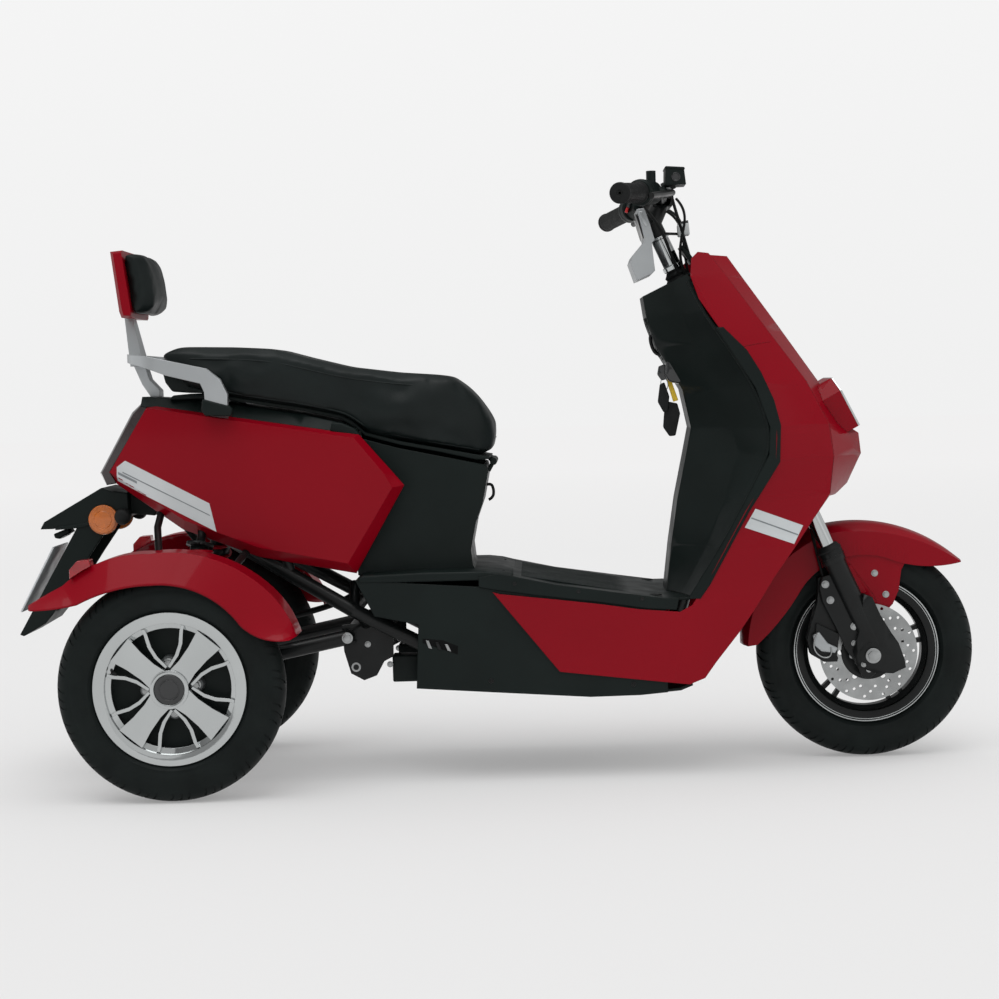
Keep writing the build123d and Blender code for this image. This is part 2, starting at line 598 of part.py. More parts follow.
leg_foot = [(-14, 118), (2, 112), (17, 77), (38, 41), (51, 22), (62, -10), (64, -26), (39, -37), (0, -34),
            (-30, -20), (-36, 6), (-22, 50)]
with BuildPart() as leg:
    leg_y = -leg_half_gap
    bar([on_steering(96, leg_offset, leg_y), on_steering(-120, leg_offset, leg_y)], stanchion_radius)
    bar([on_steering(-92, leg_offset, leg_y), on_steering(leg_end + 40, leg_offset, leg_y)], slider_radius)
    bar([on_steering(-84, leg_offset, leg_y), on_steering(-108, leg_offset, leg_y)], slider_radius + 3)
    plate([(front_x + ahead, axle_z + up) for ahead, up in leg_foot], 14 - leg_half_gap, -19 - leg_half_gap)
    bar([(front_x, -66, axle_z), (front_x, -109, axle_z)], 24)
    bar([(front_x, leg_y - 40, axle_z), (front_x, leg_y + 40, axle_z)], 7 + running_gap, Mode.SUBTRACT)
save(pair_of(leg.part), "fork_legs")

with BuildPart() as front_axle:
    bar([(front_x, -122, axle_z), (front_x, 122, axle_z)], 7)
    bar([(front_x, -118, axle_z), (front_x, -109, axle_z)], 13)
    bar([(front_x, 109, axle_z), (front_x, 118, axle_z)], 13)
save(front_axle.part, "front_axle")

# Front fender: a ridge on top, a rounded shoulder, side skirts and two bolt tabs.
guard_reach = tyre_radius + guard_gap
# angle round the axle, height over guard_reach, share of the fall towards the sides
guard_ridge = [(176, 8, 0.6), (140, 21, 1), (106, 24, 1), (76, 15, 1), (43, 20, 0.3)]
guard_hem = [(43, 13), (56, -38), (78, -50), (108, -47), (136, -58), (158, -55), (175, -20)]


def guard_face(y, rise):
    ridge = [round_wheel(front_x, guard_reach + more + rise * share, angle) for angle, more, share in guard_ridge]
    hem = [round_wheel(front_x, guard_reach + more, angle) for angle, more in guard_hem]
    with BuildSketch(side_at(y)) as shape:
        with BuildLine():
            for row in (ridge, hem):
                for index in range(0, len(row) - 2, 2):
                    ThreePointArc(row[index], row[index + 1], row[index + 2])
            Line(ridge[-1], hem[0])
            Line(hem[-1], ridge[0])
        make_face()
    return shape.sketch.faces()[0]


def guard_hollow(half_width, rise):
    row = [round_wheel(front_x, guard_reach + more + rise * share - 2, angle) for angle, more, share in guard_ridge]
    low_back = round_wheel(front_x, 60, 200)
    low_front = round_wheel(front_x, guard_reach + 40, 20)
    with BuildSketch(side_at(half_width)) as shape:
        with BuildLine():
            for index in range(0, len(row) - 2, 2):
                ThreePointArc(row[index], row[index + 1], row[index + 2])
            Polyline(row[-1], low_front, low_back, row[0])
        make_face()
    extrude(shape.sketch, amount=2 * half_width, mode=Mode.SUBTRACT)


with BuildPart() as front_fender:
    for side in (-1, 1):
        loft([guard_face(0, 0), guard_face(side * 34, -5)], ruled=True)
        loft([guard_face(side * 34, -5), guard_face(side * guard_half_width, -17)], ruled=True)
    guard_hollow(guard_half_width - 3.5, -18)
    guard_hollow(36, -9)
    for side in (-1, 1):
        plate([(front_x + ahead, axle_z + up) for ahead, up in [
            (-54, 200), (-21, 158), (15, 108), (21, 86), (50, 91), (62, 118), (68, 158), (80, 180), (20, 205)]],
              side * (guard_half_width - 5.5) + 2, side * (guard_half_width - 5.5) - 2)
        plate([(front_x + ahead, axle_z + up) for ahead, up in [(-56, 170), (-30, 170), (-3, 118), (-25, 108)]],
              side * (guard_half_width + 2.7) + 7.2, side * (guard_half_width + 2.7) - 7.2)
save(front_fender.part, "front_fender")

caliper_body = [(-97, 149), (-75, 155), (-40, 120), (-34, 96), (-46, 60), (-72, 20), (-62, -8), (-64, -15),
                (-89, -15), (-114, 0), (-121, 30), (-112, 62), (-100, 100)]
with BuildPart() as front_caliper:
    plate([(front_x + ahead, axle_z + up) for ahead, up in caliper_body], disc_y + 12, disc_y - 20)
    plate([(front_x - 108, axle_z + 4), (front_x - 66, axle_z - 4), (front_x - 60, axle_z + 40),
           (front_x - 104, axle_z + 62)], disc_y - 19, disc_y - 30)
    bar([(front_x, disc_y + 3.5, axle_z), (front_x, disc_y - 3.5, axle_z)], disc_radius + 2.5, Mode.SUBTRACT)
    bar([on_steering(-60, leg_offset, -leg_half_gap), on_steering(-332, leg_offset, -leg_half_gap)],
        slider_radius, Mode.SUBTRACT)
    bar([on_steering(-80, leg_offset, -leg_half_gap), on_steering(-110, leg_offset, -leg_half_gap)],
        slider_radius + 3, Mode.SUBTRACT)
    plate([(front_x + ahead, axle_z + up) for ahead, up in leg_foot], 14 - leg_half_gap, -19 - leg_half_gap,
          Mode.SUBTRACT)
    bar([(front_x, -61, axle_z), (front_x, -109, axle_z)], 24, Mode.SUBTRACT)
save(front_caliper.part, "front_caliper")

bar_mid = (948, 0, 1104)
bar_bend = (940, 110, 1110)
bar_turn = (896, 200, 1104)
bar_tip = (853, 337, 1092)
column_top = on_steering(636, 0, 0)


def between(start, end, share, side):
    x, y, z = [a + (b - a) * share for a, b in zip(start, end)]
    return (x, side * y, z)


with BuildPart() as handlebar:
    for side in (-1, 1):
        bar([bar_mid] + [(x, side * y, z) for x, y, z in (bar_bend, bar_turn, bar_tip)], 11)
    bar([(948, -30, 1104), (948, 30, 1104)], 16)
    bar([on_steering(452, 0, 0), column_top, bar_mid], 17)
    bar([on_steering(440, 0, 0), on_steering(481, 0, 0)], 14, Mode.SUBTRACT)
save(handlebar.part, "handlebar")

with BuildPart() as grip:
    bar([between(bar_turn, bar_tip, 0.12, -1), between(bar_turn, bar_tip, 1.03, -1)], 18)
    bar([between(bar_turn, bar_tip, 0.0, -1), between(bar_turn, bar_tip, 1.0, -1)], 11, Mode.SUBTRACT)
save(pair_of(grip.part), "grips")

# Clamps on the bar with a lever perch and an upright threaded boss for a mirror.
with BuildPart() as pod:
    bar([between(bar_bend, bar_turn, 0.45, -1), between(bar_bend, bar_turn, 0.95, -1)], 22)
    bar([(912, -166, 1106), (945, -164, 1106)], 10)
    bar([(mirror_x, -mirror_y, 1119), (mirror_x, -mirror_y, mirror_top)], 9)
    bar([(mirror_x, -mirror_y, mirror_top - mirror_depth), (mirror_x, -mirror_y, mirror_top)],
        mirror_bore, Mode.SUBTRACT)
    bar([between(bar_bend, bar_turn, 0.0, -1), between(bar_bend, bar_turn, 1.0, -1)], 11, Mode.SUBTRACT)
save(pair_of(pod.part), "switch_pods")
with BuildPart() as lever:
    bar([(947, -164, 1106), (957, -178, 1104), (934, -252, 1095), (908, -332, 1086)], 6)
    bar([(912, -166, 1106), (945, -164, 1106)], 10, Mode.SUBTRACT)
save(pair_of(lever.part), "brake_levers")

with BuildPart() as brake_reservoir:
    plate([(945, 1150), (980, 1147), (983, 1119), (944, 1118)], -120, -180)
    bar([(924, -150, 1107), (962, -150, 1124)], 10)
    bar([between(bar_bend, bar_turn, 0.0, -1), between(bar_bend, bar_turn, 1.0, -1)], 22, Mode.SUBTRACT)
    bar([(912, -166, 1106), (945, -164, 1106)], 10, Mode.SUBTRACT)
save(brake_reservoir.part, "brake_reservoir")

with BuildPart() as instrument_cover:
    plate([(896, 1085), (910, 1087), (921, 1054), (929, 1025), (923, 1019), (928, 966), (922, 960), (898, 950),
           (892, 948), (880, 984), (884, 995), (910, 1025)], 60, -60)
    bar([on_steering(452, 0, 0), column_top, bar_mid], 17, Mode.SUBTRACT)
save(instrument_cover.part, "instrument_cover")

# Wheels
def tyre_profile():
    with BuildSketch(Plane.XY) as shape:
        with BuildLine():
            Line((26, bead_radius), (26, flange_radius + 0.5))
            ThreePointArc((26, flange_radius + 0.5), (tyre_half_width, 172), (31, 203))
            ThreePointArc((31, 203), (0, tyre_radius), (-31, 203))
            ThreePointArc((-31, 203), (-tyre_half_width, 172), (-26, flange_radius + 0.5))
            Line((-26, flange_radius + 0.5), (-26, bead_radius))
            Line((-26, bead_radius), (-17, bead_radius))
            Line((-17, bead_radius), (-17, flange_radius))
            ThreePointArc((-17, flange_radius), (-32, 172), (-25, 196))
            ThreePointArc((-25, 196), (0, 204), (25, 196))
            ThreePointArc((25, 196), (32, 172), (17, flange_radius))
            Line((17, flange_radius), (17, bead_radius))
            Line((17, bead_radius), (26, bead_radius))
        make_face()
    return shape.sketch.faces()[0]


rim_profile = [(31, 142.5), (31, 136), (27, 122), (17, 122), (12, 112), (-12, 112), (-17, 122), (-27, 122),
               (-31, 136), (-31, 142.5), (-26, 142.5), (-26, 127), (-14, 127), (-9, 116), (9, 116), (14, 127),
               (26, 127), (26, 142.5)]
drum_depth = 52.0


# an outline in the wheel's own plane, turned about the axle, as a plate from y = near to y = far
def on_wheel(outline, x, turn, near, far, mode=Mode.ADD):
    turned = []
    for reach, across in outline:
        along = cos(radians(turn)) * reach - sin(radians(turn)) * across
        up = sin(radians(turn)) * reach + cos(radians(turn)) * across
        turned.append((x + along, axle_z + up))
    plate(turned, near, far, mode)


# reach from the axle, offset to one side
broad_spoke = [(22, -22), (52, -19), (84, -21), (118, -27), (118, 27), (84, 21), (52, 19), (22, 22)]
thin_rib = [(30, 24), (58, 26), (80, 34), (100, 48), (109, 52), (106, 57), (96, 53), (75, 39), (55, 32), (30, 29)]
front_spoke = [(24, 5), (70, 6), (118, 10), (118, 19), (70, 13), (24, 14)]


def mirrored(outline):
    return [(reach, -across) for reach, across in reversed(outline)]


wheel_table = [("front", front_x, 0.0), ("rear_right", 0.0, -half_track), ("rear_left", 0.0, half_track)]
for word, x, y in wheel_table:
    wheel_plane = Plane(origin=at((x, y, axle_z)), x_dir=(0, 1, 0), z_dir=(1, 0, 0))
    with BuildPart() as tyre:
        with BuildSketch(wheel_plane):
            add(tyre_profile())
        revolve(axis=Axis(at((x, y, axle_z)), (0, 1, 0)))
    save(tyre.part, word + "_tyre")
    out = -1 if y < 0 else 1
    with BuildPart() as rim:
        with BuildSketch(wheel_plane):
            Polygon(*rim_profile, align=None)
        revolve(axis=Axis(at((x, y, axle_z)), (0, 1, 0)))
        if word == "front":
            for turn in range(5):
                for outline in (front_spoke, mirrored(front_spoke)):
                    on_wheel(outline, x, 14 + turn * 72, 8, -8)
            bar([(x, -34, axle_z), (x, 34, axle_z)], 34)
            bar([(x, -61, axle_z), (x, 52, axle_z)], 22)
            bar([(x, disc_y + 2, axle_z), (x, -30, axle_z)], 44)
            bar([(x, -70, axle_z), (x, 70, axle_z)], 7 + running_gap, Mode.SUBTRACT)
        else:
            for turn in range(4):
                on_wheel(broad_spoke, x, 50 + turn * 90, y + out * 22 + 6, y + out * 22 - 6)
                for outline in (thin_rib, mirrored(thin_rib)):
                    on_wheel(outline, x, 50 + turn * 90, y + out * 16 + 4, y + out * 16 - 4)
            bar([(x, y - out * 30, axle_z), (x, y + out * 30, axle_z)], 34)
            bar([(x, y + out * 28, axle_z), (x, y + out * 34, axle_z)], 36)
            bar([(x, y + out * 35, axle_z), (x, y + out * 31, axle_z)], 29, Mode.SUBTRACT)
            bar([(x, y - out * 40, axle_z), (x, y + out * 20, axle_z)], shaft_radius, Mode.SUBTRACT)
    save(rim.part, word + "_rim")
    if word != "front":
        with BuildPart() as drum:
            bar([(x, y + out * -30, axle_z), (x, y - out * drum_depth, axle_z)], 62)
            bar([(x, y + out * 20, axle_z), (x, y - out * 150, axle_z)], shaft_radius)
        save(drum.part, word + "_drum")

disc_holes = 15
with BuildPart() as brake_disc:
    with BuildSketch(side_at(disc_y + 2)):
        with Locations((front_x, axle_z)):
            Circle(disc_radius)
            Circle(22.0, mode=Mode.SUBTRACT)
            for ring_radius, hole_radius, start in [(88, 3, 0), (78, 3, 8), (69, 3, 16)]:
                with PolarLocations(ring_radius, disc_holes, start_angle=start):
                    Circle(hole_radius, mode=Mode.SUBTRACT)
            with PolarLocations(55, 6):
                Circle(5, mode=Mode.SUBTRACT)
    extrude(amount=4)
save(brake_disc.part, "brake_disc")
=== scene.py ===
import bpy
import json
import math
from mathutils import Matrix, Vector


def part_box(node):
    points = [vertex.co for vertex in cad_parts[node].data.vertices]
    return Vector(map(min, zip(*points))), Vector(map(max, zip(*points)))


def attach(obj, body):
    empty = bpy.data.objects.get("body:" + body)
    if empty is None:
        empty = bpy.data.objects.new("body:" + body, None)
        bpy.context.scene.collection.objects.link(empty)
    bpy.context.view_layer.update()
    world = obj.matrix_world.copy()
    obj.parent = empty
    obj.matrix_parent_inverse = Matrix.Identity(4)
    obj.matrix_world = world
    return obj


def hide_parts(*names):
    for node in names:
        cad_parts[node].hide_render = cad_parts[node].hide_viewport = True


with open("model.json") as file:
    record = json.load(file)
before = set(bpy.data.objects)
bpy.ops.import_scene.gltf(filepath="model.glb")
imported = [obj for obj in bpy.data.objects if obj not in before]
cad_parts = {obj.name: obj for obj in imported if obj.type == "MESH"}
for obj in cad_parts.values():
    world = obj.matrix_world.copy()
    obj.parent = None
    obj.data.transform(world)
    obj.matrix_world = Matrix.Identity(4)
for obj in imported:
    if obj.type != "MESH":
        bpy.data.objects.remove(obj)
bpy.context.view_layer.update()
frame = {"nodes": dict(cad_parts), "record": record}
nodes = frame["nodes"]
bodyOfNode = {}
for bodyName, names in frame["record"]["behaviour"]["bodies"].items():
    for name in names:
        bodyOfNode[name] = bodyName
slotOfNode = {entry["node"]: entry["material_slot"] for entry in frame["record"]["subparts"]}
print("frame loaded,", len(nodes), "nodes")

# places are noted in millimetres, x counted forward from the rear axle
rearAxleX = -0.6017
axleHeight = 212.5
frontAxle = 1325.0
rakeAngle = math.radians(24.0)
yoke = (1187.0, 480.0)
legAhead = 29.97
bothSides = ((-1, "Right"), (1, "Left"))


def toPlace(point):
    return Vector((rearAxleX + point[0] / 1000.0, point[1] / 1000.0, point[2] / 1000.0))


def onSteering(along, ahead, y):
    # a point along the steering axis, ahead of it and to one side
    back, up = math.sin(rakeAngle), math.cos(rakeAngle)
    return (yoke[0] - along * back + ahead * up, y, yoke[1] + along * up + ahead * back)


# small modelling steps

def deselectAll():
    for other in list(bpy.context.selected_objects):
        other.select_set(False)


def pick(piece):
    deselectAll()
    piece.select_set(True)
    bpy.context.view_layer.objects.active = piece


def beginEdit(piece, everything=True):
    pick(piece)
    bpy.ops.object.mode_set(mode="EDIT")
    bpy.ops.mesh.select_mode(type="FACE")
    bpy.ops.mesh.select_all(action="SELECT" if everything else "DESELECT")


def selectAll():
    bpy.ops.mesh.select_all(action="SELECT")


def endEdit():
    bpy.ops.object.mode_set(mode="OBJECT")


def applyLast(piece):
    pick(piece)
    bpy.ops.object.modifier_apply(modifier=piece.modifiers[-1].name)


def soften(piece, width, segments=2, angle=34.0):
    bevel = piece.modifiers.new("soften", "BEVEL")
    bevel.width = width / 1000.0
    bevel.segments = segments
    bevel.limit_method = "ANGLE"
    bevel.angle_limit = math.radians(angle)
    applyLast(piece)


def thicken(piece, thickness, offset=0.0):
    wall = piece.modifiers.new("wall", "SOLIDIFY")
    wall.thickness = thickness
    wall.offset = offset
    applyLast(piece)


def smoothBy(piece, angle=34.0):
    pick(piece)
    bpy.ops.object.shade_smooth_by_angle(angle=math.radians(angle))


def finishPiece(piece, body, slotName, angle=34.0):
    smoothBy(piece, angle)
    piece.data.materials.clear()
    piece.data.materials.append(finishes[slotName] if slotName in finishes else extras[slotName][0])
    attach(piece, body)
    return piece


def cornersMoved(name, points, fill="NGON"):
    # a round of corners moved to the outline's own places
    deselectAll()
    bpy.ops.mesh.primitive_circle_add(vertices=len(points), radius=1.0, fill_type=fill)
    piece = bpy.context.object
    piece.name = name
    for vertex, point in zip(piece.data.vertices, points):
        vertex.co = point
    return piece


def sidePlate(name, outline, nearY, farY, bevel=1.0, segments=2):
    # a plate with a side outline (x, z), from one y to the other
    piece = cornersMoved(name, [toPlace((x, nearY, z)) for x, z in outline])
    beginEdit(piece)
    bpy.ops.mesh.extrude_region_move(TRANSFORM_OT_translate={"value": (0.0, (farY - nearY) / 1000.0, 0.0)})
    selectAll()
    bpy.ops.mesh.normals_make_consistent(inside=False)
    endEdit()
    if bevel:
        soften(piece, bevel, segments)
    return piece


def spun(name, profile, start, end, steps=32):
    # a turned piece: profile of (along, radius) from start towards end
    origin = toPlace(start)
    axis = (toPlace(end) - origin).normalized()
    side = axis.orthogonal().normalized()
    points = [origin + axis * along / 1000.0 + side * radius / 1000.0 for along, radius in profile]
    piece = cornersMoved(name, points, fill="NOTHING")
    beginEdit(piece)
    bpy.ops.mesh.spin(steps=steps, angle=2.0 * math.pi, center=origin, axis=axis)
    selectAll()
    bpy.ops.mesh.remove_doubles(threshold=0.00002)
    selectAll()
    bpy.ops.mesh.delete_loose(use_verts=True, use_edges=True, use_faces=False)
    selectAll()
    bpy.ops.mesh.normals_make_consistent(inside=False)
    endEdit()
    return piece


def solidRod(length, radius, lip=1.0):
    # a closed profile with rounded ends
    return [(0.0, 0.0), (0.0, radius - lip), (lip * 0.3, radius - lip * 0.3), (lip, radius),
        (length - lip, radius), (length - lip * 0.3, radius - lip * 0.3), (length, radius - lip),
        (length, 0.0)]


def hexBolt(name, start, end, radius, height, washer=1.4):
    # a six-sided head on a round washer, one turned and one bevelled piece joined
    origin, target = Vector(start), Vector(end)
    way = (target - origin).normalized()
    base = spun(name, solidRod(washer, radius * 1.35, 0.4), start, end, 24)
    low = origin + way * (washer - 0.1)
    head = spun(name + "Head", solidRod(height, radius, 0.8), tuple(low), tuple(low + way * 10), 6)
    deselectAll()
    base.select_set(True)
    head.select_set(True)
    bpy.context.view_layer.objects.active = base
    bpy.ops.object.join()
    return base


def heldCable(name, points, radius, order=4):
    curve = bpy.data.curves.new(name, "CURVE")
    curve.dimensions = "3D"
    curve.resolution_u = 10
    curve.bevel_depth = radius / 1000.0
    curve.bevel_resolution = 3
    curve.use_fill_caps = True
    spline = curve.splines.new("NURBS")
    spline.points.add(len(points) - 1)
    for control, point in zip(spline.points, points):
        control.co = (*toPlace(point), 1.0)
    spline.order_u = order
    spline.use_endpoint_u = True
    cable = bpy.data.objects.new(name, curve)
    bpy.context.scene.collection.objects.link(cable)
    pick(cable)
    bpy.ops.object.convert(target="MESH")
    return bpy.context.object


def plated(body, slotName, *shape, angle=30.0):
    return finishPiece(sidePlate(*shape), body, slotName, angle)


def turned(body, slotName, *shape, angle=30.0):
    return finishPiece(spun(*shape), body, slotName, angle)


def bolted(body, slotName, *shape, angle=30.0):
    return finishPiece(hexBolt(*shape), body, slotName, angle)


def cabled(body, slotName, *shape, angle=60.0, **more):
    return finishPiece(heldCable(*shape, **more), body, slotName, angle)


def joined(pieces):
    deselectAll()
    for piece in pieces:
        piece.select_set(True)
    bpy.context.view_layer.objects.active = pieces[0]
    bpy.ops.object.join()
    return pieces[0]


def nodeCopy(nodeName, suffix="Skin"):
    source = nodes[nodeName]
    piece = bpy.data.objects.new(nodeName + suffix, source.data.copy())
    bpy.context.scene.collection.objects.link(piece)
    beginEdit(piece)
    bpy.ops.mesh.remove_doubles(threshold=0.00001)
    endEdit()
    return piece


# materials

def newMaterial(name, colour, roughness, metallic=0.0, coat=0.0, coatRoughness=0.05, specular=0.5):
    material = bpy.data.materials.new(name)
    material.use_nodes = True
    shader = material.node_tree.nodes["Principled BSDF"]
    shader.inputs["Base Color"].default_value = (*colour, 1.0)
    shader.inputs["Roughness"].default_value = roughness
    shader.inputs["Metallic"].default_value = metallic
    shader.inputs["Coat Weight"].default_value = coat
    shader.inputs["Coat Roughness"].default_value = coatRoughness
    shader.inputs["Specular IOR Level"].default_value = specular
    return material


def addNode(material, kind, **values):
    node = material.node_tree.nodes.new(kind)
    for name, value in values.items():
        if name in node.inputs:
            node.inputs[name].default_value = value
        else:
            setattr(node, name, value)
    return node


def link(material, source, sourceSocket, target, targetSocket):
    material.node_tree.links.new(source.outputs[sourceSocket], target.inputs[targetSocket])


def mathNode(owner, operation, *sources):
    # each source is a node with the name or number of its output
    node = addNode(owner, "ShaderNodeMath", operation=operation)
    for index, (source, socket) in enumerate(sources):
        link(owner, source, socket, node, index)
    return node


def mapRange(owner, source, span, result):
    node = addNode(owner, "ShaderNodeMapRange", **{"From Min": span[0], "From Max": span[1],
        "To Min": result[0], "To Max": result[1]})
    link(owner, *source, node, "Value")
    return node


def shaderOf(material):
    return material.node_tree.nodes["Principled BSDF"]


def varyColour(material, low, high, scale, detail=4.0):
    # soft drift between two near colours
    place = addNode(material, "ShaderNodeTexCoord")
    noise = addNode(material, "ShaderNodeTexNoise", Scale=scale, Detail=detail)
    ramp = addNode(material, "ShaderNodeValToRGB")
    ramp.color_ramp.elements[0].position = 0.35
    ramp.color_ramp.elements[1].position = 0.65
    ramp.color_ramp.elements[0].color = (*low, 1.0)
    ramp.color_ramp.elements[1].color = (*high, 1.0)
    link(material, place, "Object", noise, "Vector")
    link(material, noise, "Fac", ramp, "Fac")
    link(material, ramp, "Color", shaderOf(material), "Base Color")


def varyRoughness(material, low, high, scale):
    place = addNode(material, "ShaderNodeTexCoord")
    noise = addNode(material, "ShaderNodeTexNoise", Scale=scale, Detail=5.0)
    spread = mapRange(material, (noise, "Fac"), (0.3, 0.7), (low, high))
    link(material, place, "Object", noise, "Vector")
    link(material, spread, "Result", shaderOf(material), "Roughness")


def addGrain(material, scale, strength, distance, pattern="noise", edge=0.0):
    # fine relief, with the piece's edges rounded by edge metres
    place = addNode(material, "ShaderNodeTexCoord")
    if pattern == "cells":
        texture = addNode(material, "ShaderNodeTexVoronoi", Scale=scale)
        height = "Distance"
    else:
        texture = addNode(material, "ShaderNodeTexNoise", Scale=scale, Detail=2.0)
        height = "Fac"
    bump = addNode(material, "ShaderNodeBump", Strength=strength, Distance=distance)
    link(material, place, "Object", texture, "Vector")
    link(material, texture, height, bump, "Height")
    if edge:
        rounding = addNode(material, "ShaderNodeBevel", Radius=edge, samples=4)
        link(material, rounding, "Normal", bump, "Normal")
    link(material, bump, "Normal", shaderOf(material), "Normal")


def finish(name, colour, roughness, spread=0.12, drift=6.0, grain=(900.0, 0.05, 0.0003),
        edge=0.0, pattern="noise", shine=0.08, **more):
    material = newMaterial(name, colour, roughness, **more)
    low = tuple(value * (1.0 - spread) for value in colour)
    high = tuple(value * (1.0 + spread) for value in colour)
    varyColour(material, low, high, drift)
    varyRoughness(material, max(0.02, roughness - shine), roughness + shine, drift * 3.0)
    if grain:
        addGrain(material, *grain, pattern=pattern, edge=edge)
    return material


finishes = {
    "red_paint": finish("crimsonPaint", (0.235, 0.0006, 0.0075), 0.34, 0.05, 2.5, (1400.0, 0.02, 0.0002),
        0.0022, shine=0.05, coat=0.16, coatRoughness=0.05, specular=0.06),
    "black_plastic": finish("blackMoulding", (0.0062, 0.0104, 0.0096), 0.44, 0.14, 6.0,
        (2200.0, 0.16, 0.0002), 0.004, specular=0.15),
    "leatherette": finish("seatHide", (0.0056, 0.0092, 0.0089), 0.46, 0.2, 8.0, (520.0, 0.3, 0.0004),
        0.0, pattern="cells", specular=0.2),
    "cast_silver": finish("castSilver", (0.43, 0.45, 0.46), 0.36, 0.07, 6.0, (1500.0, 0.06, 0.0002),
        0.0025, metallic=0.75),
    "chrome": finish("brightChrome", (0.5, 0.52, 0.52), 0.1, 0.04, 7.0, (600.0, 0.01, 0.0002),
        0.001, shine=0.03, metallic=1.0),
    "frame_black": finish("blackEnamel", (0.0055, 0.0065, 0.0065), 0.34, 0.2, 12.0, (700.0, 0.08, 0.0003),
        0.0015, coat=0.12, coatRoughness=0.2, specular=0.2),
    "axle_grey": finish("greyCasting", (0.1, 0.108, 0.11), 0.5, 0.2, 18.0, (260.0, 0.25, 0.0005),
        0.0015, metallic=0.35),
    "rubber": finish("gripRubber", (0.0075, 0.0085, 0.0085), 0.58, 0.2, 30.0, (900.0, 0.2, 0.0003),
        0.001, specular=0.22),
    "tyre": finish("tyreRubber", (0.0045, 0.0074, 0.007), 0.6, 0.22, 12.0, (700.0, 0.14, 0.0003),
        0.0, specular=0.18),
    "steel": finish("brushedSteel", (0.36, 0.37, 0.37), 0.32, 0.12, 25.0, (900.0, 0.04, 0.0002),
        0.0008, metallic=0.95),
    "lens_clear": finish("clearLens", (0.93, 0.95, 0.95), 0.05, 0.01, 20.0, None, shine=0.02, coat=0.2),
    "lens_smoked": finish("smokedLens", (0.022, 0.012, 0.013), 0.12, 0.2, 20.0, (160.0, 0.1, 0.0005),
        0.002, coat=0.7, coatRoughness=0.04),
    "lens_amber": finish("amberLens", (0.52, 0.13, 0.012), 0.24, 0.18, 40.0, (480.0, 0.3, 0.0005),
        0.001, pattern="cells", coat=0.6),
    "lens_red": finish("redLens", (0.3, 0.006, 0.012), 0.2, 0.16, 40.0, (380.0, 0.3, 0.0005),
        0.001, pattern="cells", coat=0.6),
    "battery_case": finish("plainCase", (0.05, 0.05, 0.055), 0.6, 0.1, 10.0),
}
clearShader = shaderOf(finishes["lens_clear"])
clearShader.inputs["Transmission Weight"].default_value = 0.94
clearShader.inputs["IOR"].default_value = 1.45

# finishes of small trim, each with the slot that it goes with
extras = {
    "labelGrey": (finish("labelGrey", (0.56, 0.59, 0.6), 0.38, 0.04, 12.0, specular=0.4), "cast_silver"),
    "labelLine": (finish("labelLine", (0.2, 0.22, 0.23), 0.45, 0.08, 20.0), "axle_grey"),
    "keyTag": (finish("keyTag", (0.75, 0.5, 0.01), 0.4, 0.08, 60.0), "lens_amber"),
    "starterRed": (finish("starterRed", (0.5, 0.01, 0.012), 0.35, 0.08, 60.0), "lens_red"),
    "palePlastic": (finish("palePlastic", (0.5, 0.52, 0.52), 0.45, 0.06, 30.0, edge=0.002), "cast_silver"),
    "glossBlack": (finish("glossBlack", (0.008, 0.009, 0.01), 0.14, 0.2, 20.0, edge=0.002, coat=0.5),
        "frame_black"),
    # deepShade is painted shade: a near-black matt finish for the vent slots, where only shade falls
    "deepShade": (finish("deepShade", (0.004, 0.0045, 0.0045), 0.8, 0.2, 10.0, specular=0.1),
        "black_plastic"),
    "lampMirror": (finish("lampMirror", (0.85, 0.86, 0.87), 0.06, 0.03, 30.0, metallic=1.0, shine=0.02),
        "chrome"),
}
for entry in frame["record"]["subparts"]:
    data = nodes[entry["node"]].data
    data.materials.clear()
    data.materials.append(finishes[entry["material_slot"]])
print("finishes on all nodes")

# CAD nodes in a smoothed skin; a width rounds the outline itself
skinTable = {
    "grab_rail": 2.2, "instrument_cover": 4.0, "brake_reservoir": 3.0, "front_caliper": 2.0,
    "backrest_shell": 3.0, "plate_bracket": 2.0, "seat_box": 0.0, "footboard": 0.0, "legshield": 0.0,
    "belly_pan": 0.0, "front_mask": 0.0, "front_aprons": 0.0, "tail_panels": 0.0, "tail_cover": 0.0,
    "tail_lamp": 2.0, "side_reflectors": 2.0, "headlamp_housing": 0.0, "headlamp_trim": 0.8,
    "headlamp_lens": 0.0, "fork_legs": 0.0, "steering_stem": 0.0, "front_axle": 0.8, "front_fender": 0.0,
    "handlebar": 0.0, "grips": 0.0, "switch_pods": 1.5, "brake_levers": 0.0, "front_rim": 0.6,
    "brake_disc": 0.0, "rear_left_rim": 0.8, "rear_right_rim": 0.8, "rear_left_drum": 1.0,
    "rear_right_drum": 1.0, "main_frame": 0.0, "rear_axle": 1.0, "rear_arms": 0.0, "rear_shocks": 0.0,
    "rear_fenders": 0.0, "fender_lamps": 1.5, "seat_base": 1.0, "battery_pack": 3.0,
}


def skinOf(nodeName, width):
    piece = nodeCopy(nodeName)
    if width:
        beginEdit(piece)
        bpy.ops.mesh.dissolve_limited(angle_limit=math.radians(1.0))
        endEdit()
        soften(piece, width, 2, 38.0)
    crisp = {"red_paint": 13.0, "black_plastic": 20.0}
    angle = 26.0 if "fender" in nodeName else crisp.get(slotOfNode[nodeName], 31.0)
    slotName = "frame_black" if nodeName in ("brake_levers", "rear_shocks") else slotOfNode[nodeName]
    finishPiece(piece, bodyOfNode[nodeName], slotName, angle)
    evener = piece.modifiers.new("evenShade", "WEIGHTED_NORMAL")
    evener.keep_sharp = True
    applyLast(piece)
    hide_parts(nodeName)
    return piece


